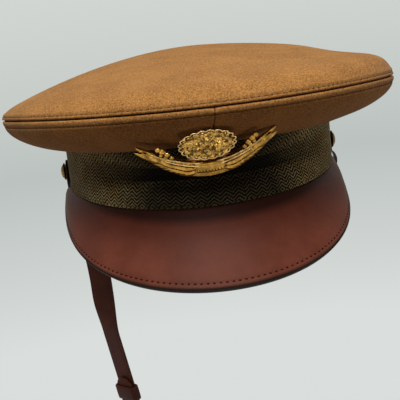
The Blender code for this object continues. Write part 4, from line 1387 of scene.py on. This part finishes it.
def make_rosette(look, highlight_look):
    """An oval boss: scalloped rim, beaded ring and a granular middle."""
    wide = 14.2 * MM
    tall = 8.8 * MM
    lobes = 20
    angles = around(240)
    shares = np.concatenate([np.linspace(1.0, 0.70, 22), np.linspace(0.68, 0.03, 34)])
    lobe = 0.97 - 0.10 * (1 - np.abs(np.sin(angles * lobes / 2)))
    rows = []
    for share in shares:
        edge = lobe * share if share > 0.68 else share * (1 + (lobe - 1) * share / 0.68)
        x = wide * edge * np.cos(angles)
        y = ROSETTE_AT + tall * edge * np.sin(angles)
        dome = 2.2 * MM + 1.9 * MM * (1 - share ** 2)
        rim = 0.75 * MM * hill(share, 0.95, 0.035)
        scallop = 0.5 * MM * np.abs(np.sin(angles * lobes / 2)) ** 0.6 * smooth((share - 0.7) / 0.1)
        petals = 0.40 * MM * np.cos(angles * lobes) * hill(share, 0.80, 0.06)
        beads = 0.5 * MM * np.cos(angles * 30) * hill(share, 0.66, 0.035)
        grains = 0.5 * MM * (np.sin(x * TURN / (2.1 * MM) + np.sin(y * 2100) * 1.3)
                              * np.sin(y * TURN / (1.7 * MM))) * smooth((0.62 - share) / 0.06)
        rows.append(badge_point(x, y, dome + rim + scallop + petals + beads + grains))
    boss = grid_object("badge_rosette_boss", np.stack(rows), ring=True,
                       tip=badge_point(0.0, ROSETTE_AT, 4.1 * MM),
                       outward_from=BADGE_BEHIND, thickness=1.2 * MM)
    dress(boss, look, stands_for=["badge_rosette"])
    loops = []
    for k in range(lobes):
        a = np.linspace(k, k + 1, 12) * TURN / lobes
        bulge = 0.92 + 0.115 * np.sin(np.linspace(0, math.pi, 12)) ** 0.7
        x = wide * bulge * np.cos(a)
        y = ROSETTE_AT + tall * bulge * np.sin(a)
        loops.append(wire("loop", badge_point(x, y, 3.0 * MM + 0 * x), 0.42 * MM, 6))
    # The scallop loops get the brighter gilt: painted highlight on the raised rim.
    dress(join("badge_rosette_scallops", loops), highlight_look)


def make_bar(look):
    """The plain clasp at the badge's foot, ribbed along its lower edge."""
    x = np.linspace(-CLASP_HALF_WIDTH, CLASP_HALF_WIDTH, 81)
    rows = []
    for y in np.linspace(-CLASP_HALF_HEIGHT, CLASP_HALF_HEIGHT, 28):
        edge = np.minimum(CLASP_HALF_WIDTH - np.abs(x), CLASP_HALF_HEIGHT - abs(y))
        face = 2.1 * MM + 0.35 * MM * smooth(edge / (1.0 * MM)) - 0.012 * (x ** 2) / MM
        lower = smooth((-1.2 * MM - y) / (0.6 * MM))
        ribs = 0.28 * MM * np.cos(x * TURN / (1.6 * MM)) * lower
        line = -0.3 * MM * hill(y, 1.9 * MM, 0.25 * MM)
        rows.append(badge_point(x, 0.1 * MM + y + 0 * x, face + ribs + line))
    clasp = grid_object("badge_clasp", np.stack(rows),
                        outward_from=BADGE_BEHIND, thickness=1.6 * MM)
    dress(clasp, look, stands_for=["badge_bar"])


# ---- studio ---------------------------------------------------------------------------------
def make_camera():
    """In front and a little above, on the wearer's right of the middle, slightly rolled."""
    yaw = -2.608 * DEG
    pitch = 14.309 * DEG
    roll = -6.523 * DEG
    target = Vector((-2.7 * MM, 6.8 * MM, -24.1 * MM))
    distance = 0.520
    back = Vector((math.sin(yaw) * math.cos(pitch), -math.cos(yaw) * math.cos(pitch),
                   math.sin(pitch)))
    data = bpy.data.cameras.new("camera")
    data.lens = 67.28
    data.clip_start = 0.01
    camera = new_object("camera", data)
    aim = back.to_track_quat("Z", "Y").to_matrix().to_4x4()
    place = aim @ Matrix.Rotation(roll, 4, "Z")
    place.translation = target + back * distance
    camera.matrix_world = place
    bpy.context.scene.camera = camera


def add_light(name, place, size, power, colour):
    """A square soft box that looks at the middle of the cap."""
    data = bpy.data.lights.new(name, "AREA")
    data.shape = "SQUARE"
    data.size = size
    data.energy = power
    data.color = colour
    light = new_object(name, data)
    light.location = place
    middle = Vector((0, -0.03, 0.02))
    light.rotation_euler = (Vector(place) - middle).to_track_quat("Z", "Y").to_euler()


def make_backdrop():
    """A pale bowl: floor and wall in one turned sheet, far enough off to take no shadow edge."""
    floor = -0.8
    wall = 3.0
    wall_top = 3.0
    bend = 1.2
    profile = [(0.0, floor), (wall - bend, floor)]
    for k in range(1, 13):
        angle = k * math.pi / 24
        profile.append((wall - bend + bend * math.sin(angle), floor + bend * (1 - math.cos(angle))))
    profile.append((wall, wall_top))
    bm = bmesh.new()
    ring = [bm.verts.new((r, 0, z)) for r, z in profile]
    edges = [bm.edges.new(pair) for pair in zip(ring, ring[1:])]
    bmesh.ops.spin(bm, geom=ring + edges, axis=(0, 0, 1), cent=(0, 0, 0), steps=64, angle=TURN)
    bmesh.ops.remove_doubles(bm, verts=bm.verts, dist=1 * MM)
    backdrop = object_of("backdrop", bm)
    backdrop.data.shade_smooth()
    backdrop.data.materials.append(backdrop_look())
    backdrop.visible_diffuse = False
    backdrop.visible_shadow = False


def make_studio():
    scene = bpy.context.scene
    scene.view_settings.view_transform = "Standard"
    scene.view_settings.look = "None"
    world = bpy.data.worlds.new("studio")
    world.use_nodes = True
    fill = world.node_tree.nodes["Background"].inputs
    fill["Color"].default_value = (1.0, 0.80, 0.62, 1)
    fill["Strength"].default_value = 0.02
    scene.world = world
    add_light("key", (-0.10, -0.85, 1.34), 0.9, 25.5, (1.0, 0.97, 0.93))
    add_light("side_left", (-1.3, -0.55, -0.1), 0.5, 1.6, (1.0, 0.80, 0.52))
    add_light("side_right", (1.3, -0.45, 0.05), 0.5, 2.3, (1.0, 0.82, 0.56))
    add_light("table_bounce", (0.05, -0.62, -0.85), 0.5, 0.9, (1.0, 0.76, 0.50))
    add_light("back_top", (0.3, 0.9, 1.2), 0.8, 4.0, (1, 1, 1))
    make_backdrop()


# ---- everything together ------------------------------------------------------------------------
def repaint(look, *nodes):
    """A CAD node that is shown as it is gets a finished material."""
    for name in nodes:
        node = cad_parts[name]
        node.data.materials.clear()
        node.data.materials.append(look)


def visor_shade(look, base):
    """Painted shade where the visor meets the band, broad and then deep right beside it, for the
    crown's shadow; burnished black along its edge.
    """
    run = look.node("SeparateXYZ", {0: look.place("UV")})
    burnished = look.ramp(run.outputs[1], 0.4 * MM, 2.2 * MM, 1.0, 0.0)
    # Painted shade: a broad darkening towards the band, then a deep one next to it, standing for the
    # crown's shadow on the visor.
    broad_tone = look.tint(base, run.outputs[1], 12 * MM, 34 * MM, (0.058, 0.012, 0.006), 0.65)
    shaded = look.tint(broad_tone, run.outputs[1], 36 * MM, 42 * MM, (0.010, 0.003, 0.002), 0.85)
    return look.mix(burnished, shaded, (0.012, 0.007, 0.005))


def build():
    tan = ((0.50, 0.245, 0.072), (0.27, 0.115, 0.030))
    top_cloth = wool("crown_wool_top", *tan, stitched=TOP_STITCH_INSET)
    side_cloth = wool("crown_wool_side", *tan, stitched=PANEL_STITCH_INSET)
    # Painted shade: the piping cord gets a dark wool so that it reads as the shade deep in the seam.
    piping = wool("piping_wool", (0.16, 0.075, 0.026), (0.07, 0.03, 0.012))
    crown_thread = thread("crown_thread", (0.20, 0.090, 0.032))
    braid = braid_look("braid_weave")
    brown = ((0.158, 0.044, 0.026), (0.118, 0.031, 0.018))
    visor_top = leather("visor_leather_top", *brown, grain=1100, rough=(0.42, 0.56),
                        shade=visor_shade, shine=0.08)
    visor_under = leather("visor_leather_under", (0.150, 0.085, 0.042), (0.08, 0.042, 0.02),
                          grain=800, rough=(0.5, 0.68), shine=0.12)
    edge_black = leather("edge_black", (0.018, 0.012, 0.010), (0.008, 0.006, 0.005), grain=700,
                         rough=(0.45, 0.6), shine=0.12)
    strap_leather = leather("strap_leather_worn", (0.10, 0.023, 0.014), (0.05, 0.013, 0.008),
                            grain=1000, rough=(0.42, 0.58), crack=0.3, shine=0.10)
    sweat_leather = leather("sweatband_leather_tan", (0.30, 0.15, 0.07), (0.15, 0.07, 0.03),
                            grain=700, rough=(0.45, 0.7), crack=0.2)
    dark_thread = thread("dark_thread", (0.010, 0.005, 0.003))
    tan_thread = thread("tan_thread", (0.34, 0.22, 0.11))
    lining = satin("lining_satin", (0.40, 0.30, 0.17))
    ribbon = satin("bow_ribbon", (0.10, 0.055, 0.028))
    film = clear_film("sweat_film")
    fibre_board = board("fibre_board")
    spring = steel("spring_steel")
    gold = gilt("gilt_aged")
    # Painted highlight: a brighter, less tarnished copy of the gilt for the raised stems and the
    # rosette's scallop loops.
    highlight_gilt = gilt("gilt_painted_highlight", (0.92, 0.62, 0.26), (0.30, 0.16, 0.045), (0.18, 0.32))
    chased = gilt("gilt_chased", (0.84, 0.50, 0.13), rough=(0.25, 0.45), chased=0.35 * MM)
    # A much darker gilt for the buttons than for the badge.
    dark_gilt = gilt("gilt_dark", (0.22, 0.13, 0.05), (0.04, 0.022, 0.010), (0.35, 0.55))

    make_crown_top(top_cloth, crown_thread)
    make_side_panels(side_cloth, crown_thread)
    make_seam_cord(piping)
    make_lining(lining, film)
    make_band(braid, sweat_leather, tan_thread, ribbon)
    make_visor(visor_top, fibre_board, visor_under, edge_black, dark_thread)
    make_buttons(dark_gilt)
    make_strap(strap_leather, dark_thread)
    make_tab(strap_leather)
    for side in (-1, 1):
        make_spray(side, gold, highlight_gilt)
    make_rosette(chased, highlight_gilt)
    make_bar(gold)
    repaint(gold, "badge_wreath", "badge_post", "badge_thumb_nut", "grommet_ferrule")
    repaint(spring, "grommet_hoop", "front_stay", "badge_washer", "left_button_clip",
            "right_button_clip")
    repaint(fibre_board, "band_frame")


make_camera()
make_studio()
build()
